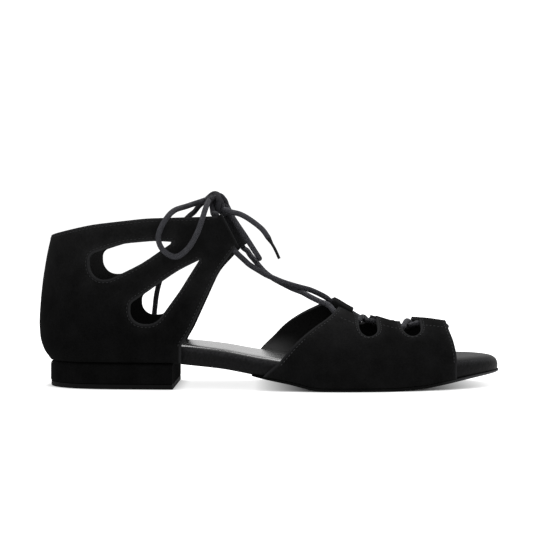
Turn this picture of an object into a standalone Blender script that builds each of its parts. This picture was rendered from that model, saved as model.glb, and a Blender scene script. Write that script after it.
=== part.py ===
"""A black suede lace-up dance sandal for the right foot, standing empty on its sole.

The toe points along +X, the outer side of the foot is -Y, and the floor is Z = 0.
Sizes are millimetres. MM turns them into metres where a mesh or a curve is made.
"along" is a place along the foot, "height" is above the floor, and a "side" is OUTER or INNER.
"""

import math
from collections import namedtuple

import bmesh
import bpy
from mathutils import Vector

MM = 0.001
OUTER = -1
INNER = 1
SIDE_WORDS = {OUTER: "outer", INNER: "inner"}

# Driving sizes
HEEL_END = -115.2
TOE_END = 125.0
GAP = 0.3
WALL = 1.8
OUTSOLE_THICK = 1.5
OUTSOLE_REAR = -9.0
INSOLE_THICK = 1.2
HEEL_BREAST = -50.2
HEEL_BLOCK_FOOT = 2.8
TOP_PIECE_THICK = 2.5
QUARTER_BASE = 14.1
QUARTER_FRONT = -4.0
LACE_RADIUS = 1.5
TIP_RADIUS = 1.1
LACE_SPACING = 6.6
MOUTH_CLEAR = 0.35
TUNNEL_RADIUS = 2.8
BORE_RADIUS = 1.9
BORE_PAST = 4.0
TUNNEL_DEPTH = WALL + BORE_RADIUS + 0.1
TUNNEL_BACK = 1.4
TUNNEL_DOWN = 0.8
AXIS_SHIFT = 1.4
REACH = 60.0

# Plan of the platform: how far its outer and inner edges lie from the foot's axis
Plan = namedtuple("Plan", "along outer inner")
PLATFORM_PLAN = (
    Plan(HEEL_END, 0.0, 0.0),
    Plan(-108.0, 17.0, 17.0),
    Plan(-98.0, 23.6, 23.6),
    Plan(-85.0, 26.6, 26.4),
    Plan(-68.0, 27.9, 26.8),
    Plan(-45.0, 29.6, 26.0),
    Plan(-20.0, 33.0, 25.2),
    Plan(0.0, 36.8, 27.2),
    Plan(20.0, 40.0, 31.8),
    Plan(38.0, 41.4, 36.2),
    Plan(55.0, 40.4, 38.6),
    Plan(72.0, 36.9, 38.2),
    Plan(88.0, 32.0, 35.6),
    Plan(103.0, 25.6, 30.6),
    Plan(115.0, 17.2, 23.0),
    Plan(122.0, 8.8, 14.6),
    Plan(TOE_END, -3.0, 3.0),
)

# Side of the platform: underside with arch and toe spring, and thickness
Bed = namedtuple("Bed", "along under thick")
PLATFORM_BED = (
    Bed(-126.0, 13.9, 9.0),
    Bed(-52.0, 13.5, 8.6),
    Bed(-40.0, 12.5, 9.0),
    Bed(-24.0, 10.9, 8.8),
    Bed(-9.0, 8.3, 8.7),
    Bed(10.0, 5.2, 8.9),
    Bed(28.0, 1.8, 9.5),
    Bed(60.0, 1.8, 9.3),
    Bed(78.0, 2.7, 9.0),
    Bed(95.0, 5.2, 8.8),
    Bed(110.0, 7.4, 7.5),
    Bed(127.0, 9.2, 5.5),
)

# How far the outsole stands out from the platform, and how thick its skived rear is
Tread = namedtuple("Tread", "along margin thick")
OUTSOLE_EDGE = (
    Tread(OUTSOLE_REAR, 0.0, 0.5),
    Tread(-3.5, 1.4, 0.9),
    Tread(6.0, 2.0, 1.2),
    Tread(16.0, 2.0, 1.4),
    Tread(27.0, 2.0, OUTSOLE_THICK),
    Tread(92.0, 2.0, OUTSOLE_THICK),
    Tread(101.0, 0.6, 1.4),
    Tread(127.0, 0.4, 0.9),
)

# Section of each sole piece, from its lowest layer up: share of its thickness, and inset of its edge
Layer = namedtuple("Layer", "share inset")
PLATFORM_LAYERS = (Layer(0.0, 0.9), Layer(0.14, 0.0), Layer(0.74, 0.0), Layer(1.0, 1.5))
INSOLE_LAYERS = (Layer(0.0, 1.7), Layer(1.0, 3.2))
OUTSOLE_LAYERS = (Layer(0.0, 0.5), Layer(0.2, 0.0), Layer(1.0, 0.0))
HEEL_LAYERS = (Layer(0.0, 0.4), Layer(0.08, 0.0), Layer(0.89, 0.0), Layer(1.0, 1.0))
TOP_PIECE_LAYERS = (Layer(0.0, 0.9), Layer(0.24, 0.3), Layer(1.0, 0.3))
HEEL_SIDE_MARGIN = 1.9
HEEL_BACK_MARGIN = 3.6
HEEL_SEAT_END = -52.0
HEEL_SEAT_FADE = 14.0

# Girth of the quarter: how far it swells past the platform at the back and sides,
# and its half widths where its front tabs close over the instep
Girth = namedtuple("Girth", "height back_swell side_swell front_outer front_inner")
QUARTER_GIRTH = (
    Girth(13.9, 3.4, 2.2, 33.6, 28.4),
    Girth(20.0, 7.5, 3.0, 33.4, 28.2),
    Girth(27.0, 9.4, 3.7, 32.6, 27.8),
    Girth(34.0, 9.8, 4.0, 31.4, 27.0),
    Girth(45.0, 9.2, 3.6, 28.8, 25.6),
    Girth(55.0, 8.2, 2.8, 26.0, 23.4),
    Girth(65.0, 6.7, 2.0, 22.4, 20.4),
    Girth(75.0, 4.8, 1.6, 18.8, 16.8),
    Girth(85.0, 2.3, 1.4, 16.2, 14.0),
    Girth(97.0, -0.9, 1.3, 14.4, 12.2),
)
CLOSING_FROM = -75.0
CLOSING_TO = -16.0
MOST_CLOSING = 1.4

# Side outline of the quarter, from under the heel round by the front strap, the inner tab and the collar
Corner = namedtuple("Corner", "along height radius")
QUARTER_OUTLINE = (
    Corner(-132.0, 10.0, 0.0),
    Corner(-46.0, 10.0, 0.0),
    Corner(-45.8, 23.0, 3.0),
    Corner(-41.1, 30.2, 14.0),
    Corner(-26.4, 62.0, 30.0),
    Corner(-12.4, 77.4, 2.5),
    Corner(-20.8, 93.4, 2.5),
    Corner(-36.0, 90.3, 40.0),
    Corner(-64.5, 89.3, 90.0),
    Corner(-92.6, 86.2, 90.0),
    Corner(-118.0, 81.3, 30.0),
    Corner(-132.0, 79.5, 0.0),
)
# The outer tab stops short of the inner one, and this is cut from it
OUTER_TAB_TRIM = (
    Corner(-26.8, 61.3, 0.0),
    Corner(6.0, 61.3, 0.0),
    Corner(6.0, 100.0, 0.0),
    Corner(-36.0, 100.0, 0.0),
    Corner(-36.0, 90.3, 0.0),
    Corner(-25.0, 91.7, 2.0),
    Corner(-16.2, 75.4, 2.5),
)
TabEdge = namedtuple("TabEdge", "foot_along foot_height head_along head_height")
TAB_EDGE = {
    OUTER: TabEdge(-17.2, 74.8, -25.2, 90.2),
    INNER: TabEdge(-13.6, 76.4, -21.4, 91.8),
}

# Windows of the quarter: a round end, and gently bowed sides that run to a tip
INNER_WINDOW_LIFT = 2.7
WINDOWS = (
    (
        Corner(-50.0, 77.1, 0.0),
        Corner(-60.0, 77.6, 40.0),
        Corner(-77.0, 76.1, 40.0),
        Corner(-94.5, 70.6, 4.5),
        Corner(-94.5, 57.3, 8.0),
        Corner(-83.5, 57.4, 8.0),
        Corner(-66.5, 65.6, 60.0),
    ),
    (
        Corner(-36.4, 67.8, 0.0),
        Corner(-47.5, 62.3, 60.0),
        Corner(-72.4, 45.0, 4.0),
        Corner(-72.5, 34.1, 7.0),
        Corner(-58.9, 34.2, 9.0),
        Corner(-46.6, 51.3, 60.0),
    ),
)

# Arch of the vamp over the forefoot: its ridge, and where the throat's two edges lie
Arch = namedtuple("Arch", "along ridge ridge_side throat_outer throat_inner")
VAMP_ARCH = (
    Arch(-16.0, 62.0, 3.0, 17.0, 12.0),
    Arch(5.0, 56.5, 5.0, 17.5, 12.0),
    Arch(20.0, 52.0, 6.3, 17.5, 12.0),
    Arch(36.0, 48.2, 6.5, 17.5, 12.0),
    Arch(47.0, 42.6, 5.0, 18.0, 13.0),
    Arch(57.0, 39.9, -1.0, 14.5, 16.0),
    Arch(70.0, 36.8, -1.0, 14.0, 16.0),
    Arch(80.0, 39.1, -1.5, 13.6, 16.0),
    Arch(95.0, 37.5, -1.5, 13.0, 16.0),
)
ARCH_FULLNESS = 2.0
SKIRT_SHARE = 0.16
NEAR_THROAT = 0.985

# Ends of the vamp halves: rear edges and open toe, by height
VampEnd = namedtuple("VampEnd", "height rear_outer rear_inner front")
VAMP_ENDS = (
    VampEnd(2.0, -8.0, -15.0, 98.0),
    VampEnd(9.0, -1.7, -10.5, 98.0),
    VampEnd(15.0, 5.0, -6.3, 98.0),
    VampEnd(18.0, 7.6, -4.2, 97.8),
    VampEnd(25.0, 13.8, 2.8, 96.6),
    VampEnd(32.0, 22.3, 9.8, 94.8),
    VampEnd(38.0, 31.2, 18.6, 94.2),
    VampEnd(43.0, 37.0, 28.4, 94.0),
    VampEnd(47.0, 41.0, 36.4, 94.0),
)

# Lace tabs along the throat, and the notches between them
Tab = namedtuple("Tab", "rear front")
VAMP_TABS = (Tab(36.6, 47.0), Tab(57.0, 70.0), Tab(80.0, 94.0))
NOTCH_BOTTOM = {OUTER: (28.3, 28.3), INNER: (32.6, 29.6)}
NOTCH_ROUND = 0.96

# How far the short strands rise or sink between their tunnels
BAR_LIFT = 0.6
OVER_LIFT = 2.1
UNDER_LIFT = -0.5

# Route points of the two strands over the instep, between their tunnels: along, side, height
INSTEP_UNDER_ROUTE = (
    (-12.0, 9.4, 72.9),
    (-10.3, 7.8, 70.4),
    (-7.4, 5.2, 67.0),
    (-4.4, 2.6, 63.4),
    (-1.6, 0.4, 60.6),
    (3.3, -0.4, 57.1),
    (10.0, 0.6, 53.5),
    (14.1, 0.6, 51.6),
    (18.1, -1.2, 50.1),
    (22.7, -4.6, 47.6),
    (27.3, -8.8, 45.4),
    (31.6, -12.4, 43.7),
)
INSTEP_OVER_ROUTE = (
    (-13.2, -11.6, 67.6),
    (-10.3, -9.6, 65.0),
    (-5.5, -6.8, 62.0),
    (-1.4, -5.2, 59.6),
    (3.6, -4.0, 57.4),
    (8.1, -3.4, 55.6),
    (12.8, -2.6, 54.1),
    (17.6, -1.0, 52.8),
    (22.6, 2.4, 51.4),
    (27.6, 6.6, 49.2),
    (32.0, 9.8, 46.8),
)

# Route points of the lace's free lengths: along, side, height
KNOT_CENTRE = (-28.5, 0.0, 99.5)
KNOT_SIZE = (5.2, 5.6, 6.0)
LOOP_OUTER_ROUTE = (
    (-34.2, -3.0, 100.5),
    (-43.5, -14.0, 96.6),
    (-50.0, -25.7, 93.4),
    (-54.4, -32.1, 87.5),
    (-57.4, -33.6, 79.6),
    (-55.0, -34.2, 72.8),
    (-48.4, -34.3, 69.2),
    (-41.9, -34.2, 73.6),
    (-37.6, -32.0, 81.0),
    (-35.5, -29.5, 87.0),
    (-33.9, -25.5, 93.0),
    (-32.9, -16.4, 97.6),
    (-32.6, -7.2, 99.6),
)
LOOP_FRONT_ROUTE = (
    (-23.2, 2.0, 96.4),
    (-21.4, 1.4, 93.5),
    (-19.4, -0.4, 90.4),
    (-16.6, -4.4, 86.1),
    (-12.8, -8.2, 80.5),
    (-8.9, -9.2, 74.4),
    (-6.2, -7.4, 70.2),
    (-5.2, -2.8, 68.6),
    (-6.2, 1.8, 70.2),
    (-8.9, 3.9, 74.4),
    (-13.1, 5.2, 80.6),
    (-19.3, 6.2, 90.2),
    (-23.4, 5.6, 98.2),
)
END_FRONT_ROUTE = (
    (-25.0, -3.9, 95.5),
    (-20.6, -5.6, 93.8),
    (-15.4, -6.4, 92.4),
    (-9.8, -6.8, 89.2),
    (-3.8, -7.0, 84.4),
    (-0.4, -7.0, 79.8),
)
TIP_FRONT_ROUTE = ((-0.1, -7.0, 79.2), (3.0, -7.0, 74.0), (5.6, -7.0, 68.4))
END_INNER_ROUTE = (
    (-34.0, 2.6, 101.2),
    (-38.5, 9.0, 98.0),
    (-41.8, 16.5, 94.8),
    (-45.6, 24.2, 92.4),
    (-50.4, 30.6, 87.5),
    (-55.0, 32.4, 77.0),
    (-60.0, 33.2, 64.0),
    (-64.2, 33.8, 50.0),
    (-66.0, 34.2, 36.0),
)
TIP_INNER_ROUTE = ((-66.1, 34.2, 35.2), (-66.6, 34.2, 29.0), (-67.2, 34.0, 22.6))


class Smooth:
    """A smooth curve through rows of keys and values that never overshoots them."""

    def __init__(self, keys, values):
        self.keys = list(keys)
        self.values = list(values)
        steps = [b - a for a, b in zip(self.keys, self.keys[1:])]
        rises = [b - a for a, b in zip(self.values, self.values[1:])]
        grades = [rise / step for rise, step in zip(rises, steps)]
        self.slopes = [grades[0]]
        for before, after in zip(grades, grades[1:]):
            level = before * after <= 0
            self.slopes.append(0.0 if level else 2 * before * after / (before + after))
        self.slopes.append(grades[-1])

    def __call__(self, key):
        key = min(max(key, self.keys[0]), self.keys[-1])
        row = 0
        while row < len(self.keys) - 2 and key > self.keys[row + 1]:
            row += 1
        step = self.keys[row + 1] - self.keys[row]
        t = (key - self.keys[row]) / step
        start = (1 + 2 * t) * (1 - t) ** 2 * self.values[row]
        leave = t * (1 - t) ** 2 * step * self.slopes[row]
        end = t * t * (3 - 2 * t) * self.values[row + 1]
        arrive = t * t * (t - 1) * step * self.slopes[row + 1]
        return start + leave + end + arrive


def column(rows, key, value):
    return Smooth([getattr(row, key) for row in rows], [getattr(row, value) for row in rows])


def turn_of(along):
    """Share of the way from heel end to toe end, spread so that both round ends get close stations."""
    share = (along - HEEL_END) / (TOE_END - HEEL_END)
    return math.acos(1 - 2 * min(max(share, 0.0), 1.0)) / math.pi


def along_of(turn):
    return HEEL_END + (TOE_END - HEEL_END) * (1 - math.cos(math.pi * turn)) / 2


PLAN_TURNS = [turn_of(row.along) for row in PLATFORM_PLAN]
PLAN_EDGE = {
    OUTER: Smooth(PLAN_TURNS, [row.outer for row in PLATFORM_PLAN]),
    INNER: Smooth(PLAN_TURNS, [row.inner for row in PLATFORM_PLAN]),
}
under = column(PLATFORM_BED, "along", "under")
thick = column(PLATFORM_BED, "along", "thick")
tread_margin = column(OUTSOLE_EDGE, "along", "margin")
tread_thick = column(OUTSOLE_EDGE, "along", "thick")
back_swell = column(QUARTER_GIRTH, "height", "back_swell")
side_swell = column(QUARTER_GIRTH, "height", "side_swell")
front_half = {
    OUTER: column(QUARTER_GIRTH, "height", "front_outer"),
    INNER: column(QUARTER_GIRTH, "height", "front_inner"),
}
ridge = column(VAMP_ARCH, "along", "ridge")
ridge_side = column(VAMP_ARCH, "along", "ridge_side")
throat = {
    OUTER: column(VAMP_ARCH, "along", "throat_outer"),
    INNER: column(VAMP_ARCH, "along", "throat_inner"),
}
vamp_rear = {
    OUTER: column(VAMP_ENDS, "height", "rear_outer"),
    INNER: column(VAMP_ENDS, "height", "rear_inner"),
}
vamp_front = column(VAMP_ENDS, "height", "front")


def bed_top(along):
    return under(along) + thick(along)


def blend(start, end, share):
    return start + (end - start) * share


def plan_point(turn, side):
    return Vector((along_of(turn), side * PLAN_EDGE[side](turn)))


def plan_normal(turn, side):
    """Outward direction of the platform's edge, seen from above."""
    near = 0.002
    step = plan_point(min(turn + near, 1.0), side) - plan_point(max(turn - near, 0.0), side)
    if turn < near:
        step.x = 0.0
    if turn > 1.0 - near:
        step.x = 0.0
    return Vector((-side * step.y, side * step.x)).normalized()


def swell(turn, side, height):
    """How far the quarter's outer face lies from the platform's edge at a height."""
    backward = max(-plan_normal(turn, side).x, 0.0) ** 2
    return blend(side_swell(height), back_swell(height), backward)


def margin_point(turn, side, margin):
    return plan_point(turn, side) + plan_normal(turn, side) * margin


def material(name, colour, roughness):
    made = bpy.data.materials.new(name)
    made.use_nodes = True
    shader = made.node_tree.nodes["Principled BSDF"]
    shader.inputs["Base Color"].default_value = (*colour, 1.0)
    shader.inputs["Roughness"].default_value = roughness
    shader.inputs["Metallic"].default_value = 0.0
    return made


def mesh_object(name, bm, finish):
    """An object of this mesh, welded and facing out, under the sandal's empty."""
    bmesh.ops.remove_doubles(bm, verts=bm.verts, dist=0.01 * MM)
    bmesh.ops.recalc_face_normals(bm, faces=bm.faces)
    mesh = bpy.data.meshes.new(name)
    bm.to_mesh(mesh)
    bm.free()
    mesh.shade_smooth()
    mesh.set_sharp_from_angle(angle=math.radians(40))
    mesh.materials.append(finish)
    made = bpy.data.objects.new(name, mesh)
    bpy.context.collection.objects.link(made)
    made.parent = sandal
    return made


def helper(name, bm):
    """A cutter or joining piece, which isn't part of the sandal by itself."""
    made = mesh_object(name, bm, cutter_finish)
    made.hide_render = True
    made.display_type = "WIRE"
    return made


def boolean(target, operation, tool):
    made = target.modifiers.new(tool.name, "BOOLEAN")
    made.operation = operation
    made.solver = "EXACT"
    made.object = tool


def new_vert(bm, point):
    return bm.verts.new(Vector(point) * MM)


def slab(name, turns, layers, finish):
    """A closed slab over the plan between these turns.

    Each layer, from the lowest up, is a margin function of turn and side and a height function of along.
    """
    spans = 4
    bm = bmesh.new()
    loops = []
    for margin, height in layers:
        loop = {}
        for side in (OUTER, INNER):
            for place, turn in enumerate(turns):
                point = margin_point(turn, side, margin(turn, side))
                loop[side, place] = Vector((point.x, point.y, height(point.x)))
        loops.append(loop)
    verts = [{key: new_vert(bm, point) for key, point in loop.items()} for loop in loops]
    last = len(turns) - 1
    for low, high in zip(verts, verts[1:]):
        for side in (OUTER, INNER):
            for place in range(last):
                ahead = place + 1
                corners = (low[side, place], low[side, ahead], high[side, ahead], high[side, place])
                bm.faces.new(corners)
    for loop, row in ((loops[0], verts[0]), (loops[-1], verts[-1])):
        ladder = []
        for place in range(last + 1):
            rung = [row[OUTER, place]]
            for span in range(1, spans):
                point = loop[OUTER, place].lerp(loop[INNER, place], span / spans)
                rung.append(new_vert(bm, point))
            ladder.append(rung + [row[INNER, place]])
        for rung, ahead in zip(ladder, ladder[1:]):
            for span in range(spans):
                bm.faces.new((rung[span], rung[span + 1], ahead[span + 1], ahead[span]))
    bmesh.ops.remove_doubles(bm, verts=bm.verts, dist=0.01 * MM)
    bmesh.ops.holes_fill(bm, edges=[edge for edge in bm.edges if edge.is_boundary])
    return mesh_object(name, bm, finish)


def turns_between(start, end, count):
    first = turn_of(start)
    return [blend(first, turn_of(end), step / count) for step in range(count + 1)]


def wall(name, grid, finish):
    """A wall of the upper's thickness whose outer face runs through this grid of points."""
    bm = bmesh.new()
    verts = [[new_vert(bm, point) for point in row] for row in grid]
    for row, above in zip(verts, verts[1:]):
        for place in range(len(row) - 1):
            bm.faces.new((row[place], row[place + 1], above[place + 1], above[place]))
    made = mesh_object(name, bm, finish)
    depth = made.modifiers.new("wall", "SOLIDIFY")
    depth.thickness = WALL * MM
    depth.offset = -1.0
    depth.use_even_offset = True
    return made


def add_tube(bm, route, radius, sides):
    """A straight-sided closed tube along a route, added to a mesh."""
    points = [Vector(point) for point in route]
    rings = []
    across = None
    for place, point in enumerate(points):
        ahead = points[min(place + 1, len(points) - 1)]
        behind = points[max(place - 1, 0)]
        way = (ahead - behind).normalized()
        if across is None:
            across = way.orthogonal().normalized()
        across = (across - way * across.dot(way)).normalized()
        other = way.cross(across)
        ring = []
        for side in range(sides):
            angle = 2 * math.pi * side / sides
            spoke = across * math.cos(angle) + other * math.sin(angle)
            ring.append(new_vert(bm, point + spoke * radius))
        rings.append(ring)
    for ring, ahead in zip(rings, rings[1:]):
        for side in range(sides):
            after = (side + 1) % sides
            bm.faces.new((ring[side], ring[after], ahead[after], ahead[side]))
    bm.faces.new(rings[0])
    bm.faces.new(rings[-1])


def add_prism(bm, outline, start, end):
    """A side outline drawn across the foot from one place to another, added to a mesh."""
    near = [new_vert(bm, (along, start, height)) for along, height in outline]
    far = [new_vert(bm, (along, end, height)) for along, height in outline]
    bm.faces.new(near)
    bm.faces.new(far)
    for place in range(len(outline)):
        after = (place + 1) % len(outline)
        bm.faces.new((near[place], near[after], far[after], far[place]))


def rounded(corners):
    """The closed outline through these corners, each turned on an arc of its radius."""
    arc_step = math.radians(14)
    points = []
    for place, corner in enumerate(corners):
        here = Vector((corner.along, corner.height))
        before = Vector(corners[place - 1][:2]) - here
        after = Vector(corners[(place + 1) % len(corners)][:2]) - here
        bend = math.pi - before.angle(after)
        if corner.radius == 0:
            points.append(tuple(here))
            continue
        reach = corner.radius * math.tan(bend / 2)
        middle = (before.normalized() + after.normalized()).normalized()
        centre = here + middle * corner.radius / math.cos(bend / 2)
        start = here + before.normalized() * reach - centre
        end = here + after.normalized() * reach - centre
        count = max(1, math.ceil(bend / arc_step))
        for step in range(count + 1):
            spoke = start.lerp(end, step / count).normalized() * corner.radius
            points.append(tuple(centre + spoke))
    return points


def quarter_point(turn, side, height):
    """A point on the quarter's outer face."""
    point = margin_point(turn, side, swell(turn, side, height))
    share = min(max((point.x - CLOSING_FROM) / (CLOSING_TO - CLOSING_FROM), 0.0), MOST_CLOSING)
    across = blend(point.y, side * front_half[side](height), share * share)
    return Vector((point.x, across, height))


def quarter_at(along, side, height):
    """The point of the quarter's outer face at a place in the side view."""
    turn = turn_of(along)
    for _ in range(6):
        turn = turn_of(along_of(turn) + along - quarter_point(turn, side, height).x)
    return quarter_point(turn, side, height)


def vamp_point(along, side, rise):
    """A point on the vamp's outer face: rise is 0 on the outsole and 1 at the throat."""
    half = PLAN_EDGE[side](turn_of(along)) + GAP + WALL - side * ridge_side(along)
    if rise < SKIRT_SHARE:
        height = blend(under(along), bed_top(along), rise / SKIRT_SHARE)
        return Vector((along, side * half + ridge_side(along), height))
    power = 2 / ARCH_FULLNESS
    edge = (throat[side](along) - side * ridge_side(along)) / half
    throat_angle = math.acos(edge ** (1 / power))
    angle = throat_angle * (rise - SKIRT_SHARE) / (1 - SKIRT_SHARE)
    across = side * half * math.cos(angle) ** power + ridge_side(along)
    height = bed_top(along) + (ridge(along) - bed_top(along)) * math.sin(angle) ** power
    return Vector((along, across, height))


def vamp_grid_point(side, share, rise):
    """A point of the vamp between its slanting rear edge and its open toe."""
    easing = 0.7
    along = blend(VAMP_ENDS[0].rear_outer, VAMP_ENDS[0].front, share)
    for _ in range(12):
        height = vamp_point(along, side, rise).z
        wanted = blend(vamp_rear[side](height), vamp_front(height), share)
        along = blend(along, wanted, easing)
    return vamp_point(along, side, rise)


def inward(surface, place, side):
    """Direction into the foot from a surface function of two shares."""
    near = 0.01
    first, second = place
    along_step = surface(first + near, second) - surface(first - near, second)
    rise_step = surface(first, second + near) - surface(first, second - near)
    way = along_step.cross(rise_step).normalized()
    return way if way.y * side < 0 else -way


def tunnel_route(side, tab):
    """Middle line of the fold along a tab of the vamp."""
    route = []
    for along in (tab.rear, (tab.rear + tab.front) / 2, tab.front):
        edge = vamp_point(along, side, 1.0)
        into = inward(lambda place, rise: vamp_point(place, side, rise), (along, NEAR_THROAT), side)
        route.append(edge + into * TUNNEL_DEPTH)
    return route


def tab_tunnel_route(side):
    """Middle line of the fold along the front edge of the quarter's tab."""
    route = []
    edge = TAB_EDGE[side]
    for share in (0.0, 0.5, 1.0):
        along = blend(edge.foot_along, edge.head_along, share)
        height = blend(edge.foot_height, edge.head_height, share)
        into = inward(lambda place, level: quarter_at(place, side, level), (along, height), side)
        edge_point = quarter_at(along - TUNNEL_BACK, side, height - TUNNEL_DOWN)
        route.append(edge_point + into * TUNNEL_DEPTH)
    return route


def longer(route, extra):
    """A route drawn out past both of its ends."""
    first = (route[0] - route[1]).normalized() * extra
    last = (route[-1] - route[-2]).normalized() * extra
    return [route[0] + first, *route[1:-1], route[-1] + last]


def smooth_route(points, spacing):
    """Points at an even spacing on a smooth curve through the route's own points."""
    fine = 24
    knots = [Vector(point) for point in points]
    knots = [knots[0] * 2 - knots[1], *knots, knots[-1] * 2 - knots[-2]]
    line = []
    for a, b, c, d in zip(knots, knots[1:], knots[2:], knots[3:]):
        for step in range(fine):
            t = step / fine
            pull = (c - a) * t + (a * 2 - b * 5 + c * 4 - d) * t ** 2 + (b * 3 - a - c * 3 + d) * t ** 3
            line.append(b + pull / 2)
    line.append(knots[-2])
    lengths = [0.0]
    for here, ahead in zip(line, line[1:]):
        lengths.append(lengths[-1] + (ahead - here).length)
    count = max(2, round(lengths[-1] / spacing))
    even = []
    place = 0
    for step in range(count + 1):
        wanted = lengths[-1] * step / count
        while place < len(line) - 2 and lengths[place + 1] < wanted:
            place += 1
        share = (wanted - lengths[place]) / (lengths[place + 1] - lengths[place])
        even.append(line[place].lerp(line[place + 1], share))
    return even


def cord(name, points, radius, finish):
    """A stretch of the lace that hangs free: a round curve with closed ends."""
    curve = bpy.data.curves.new(name, "CURVE")
    curve.dimensions = "3D"
    curve.bevel_depth = radius * MM
    curve.bevel_resolution = 2
    curve.use_fill_caps = True
    route = smooth_route(points, LACE_SPACING)
    spline = curve.splines.new("POLY")
    spline.points.add(len(route) - 1)
    for place, point in zip(spline.points, route):
        place.co = (*(point * MM), 1.0)
    curve.materials.append(finish)
    made = bpy.data.objects.new(name, curve)
    bpy.context.collection.objects.link(made)
    made.parent = sandal
    return made


def strand(start, end, middle):
    """A smooth lace route between two tunnel mouths by way of its middle points."""
    lead = 3.0
    spacing = 3.6
    (first, first_way), (last, last_way) = start, end
    return smooth_route((
        first + first_way * MOUTH_CLEAR,
        first + first_way * lead,
        *middle,
        last + last_way * lead,
        last + last_way * MOUTH_CLEAR,
    ), spacing)


def short_strand(start, end, lift):
    """A strand between two near mouths, lifted at its middle."""
    return strand(start, end, [(start[0] + end[0]) / 2 + Vector((0, 0, lift))])


def crossing(name, routes, finish):
    """Strands of lace joined where they cross."""
    sides = 8
    bm = bmesh.new()
    add_tube(bm, routes[0], LACE_RADIUS, sides)
    made = mesh_object(name, bm, finish)
    for route in routes[1:]:
        bm = bmesh.new()
        add_tube(bm, route, LACE_RADIUS, sides)
        boolean(made, "UNION", helper(name + "_over", bm))
    return made


def heel_seat(turn, side, share):
    """How far the platform widens round the heel, to lie just inside the quarter."""
    fade = min(max((HEEL_SEAT_END - along_of(turn)) / HEEL_SEAT_FADE, 0.0), 1.0)
    height = blend(QUARTER_BASE, bed_top(HEEL_END), share)
    return fade * (swell(turn, side, height) - WALL - 2 * GAP)


def tread(turn, side, share):
    return tread_margin(along_of(turn))


def heel_edge(turn, side, share):
    backward = max(-plan_normal(turn, side).x, 0.0) ** 2
    return blend(HEEL_SIDE_MARGIN, HEEL_BACK_MARGIN, backward)


def insole_edge(turn, side, share):
    return heel_seat(turn, side, 1.0)


def layered(name, turns, layers, edge, low, high, finish):
    """A sole piece between two height functions, whose edge follows its layers."""

    def margin(layer):
        return lambda turn, side: edge(turn, side, layer.share) - layer.inset

    def height(layer):
        return lambda along: blend(low(along), high(along), layer.share)

    return slab(name, turns, [(margin(layer), height(layer)) for layer in layers], finish)


def make_sole(suede, leather, rubber):
    turns = turns_between(HEEL_END, TOE_END, 36)
    tread_turns = turns_between(OUTSOLE_REAR, TOE_END, 30)
    heel_turns = turns_between(HEEL_END, HEEL_BREAST, 16)

    def insole_foot(along):
        return bed_top(along) + GAP

    def insole_top(along):
        return bed_top(along) + GAP + INSOLE_THICK

    def tread_top(along):
        return under(along) - GAP

    def tread_foot(along):
        return under(along) - GAP - tread_thick(along)

    def heel_foot(along):
        return HEEL_BLOCK_FOOT

    def top_piece_foot(along):
        return 0.0

    def top_piece_top(along):
        return TOP_PIECE_THICK

    layered("platform", turns, PLATFORM_LAYERS, heel_seat, under, bed_top, leather)
    layered("insole", turns, INSOLE_LAYERS, insole_edge, insole_foot, insole_top, leather)
    layered("outsole", tread_turns, OUTSOLE_LAYERS, tread, tread_foot, tread_top, suede)
    layered("heel_block", heel_turns, HEEL_LAYERS, heel_edge, heel_foot, tread_top, suede)
    layered(
        "heel_top_piece", heel_turns, TOP_PIECE_LAYERS, heel_edge, top_piece_foot, top_piece_top, rubber
    )


def make_quarter(suede):
    rows = 13
    columns = 22
    highest = QUARTER_GIRTH[-1].height
    heights = [blend(QUARTER_BASE, highest, row / rows) for row in range(rows + 1)]
    turns = turns_between(QUARTER_FRONT, HEEL_END, columns)
    grid = []
    for height in heights:
        outer = [quarter_point(turn, OUTER, height) for turn in turns]
        inner = [quarter_point(turn, INNER, height) for turn in reversed(turns[:-1])]
        grid.append(outer + inner)
    quarter = wall("quarter", grid, suede)
    bm = bmesh.new()
    add_prism(bm, rounded(QUARTER_OUTLINE), -REACH, REACH)
    boolean(quarter, "INTERSECT", helper("quarter_outline", bm))
    bm = bmesh.new()
    add_prism(bm, rounded(OUTER_TAB_TRIM), -REACH, 0.0)
    for window in WINDOWS:
        lifted = [corner._replace(height=corner.height + INNER_WINDOW_LIFT) for corner in window]
        add_prism(bm, rounded(window), -REACH, 0.0)
        add_prism(bm, rounded(lifted), 0.0, REACH)
    boolean(quarter, "DIFFERENCE", helper("quarter_windows", bm))
    folds = bmesh.new()
    bores = bmesh.new()
    for side in (OUTER, INNER):
        route = tab_tunnel_route(side)
        add_tube(folds, route, TUNNEL_RADIUS, 12)
        add_tube(bores, longer(route, BORE_PAST), BORE_RADIUS, 10)
    boolean(quarter, "UNION", helper("quarter_folds", folds))
    boolean(quarter, "DIFFERENCE", helper("quarter_bores", bores))


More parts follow.
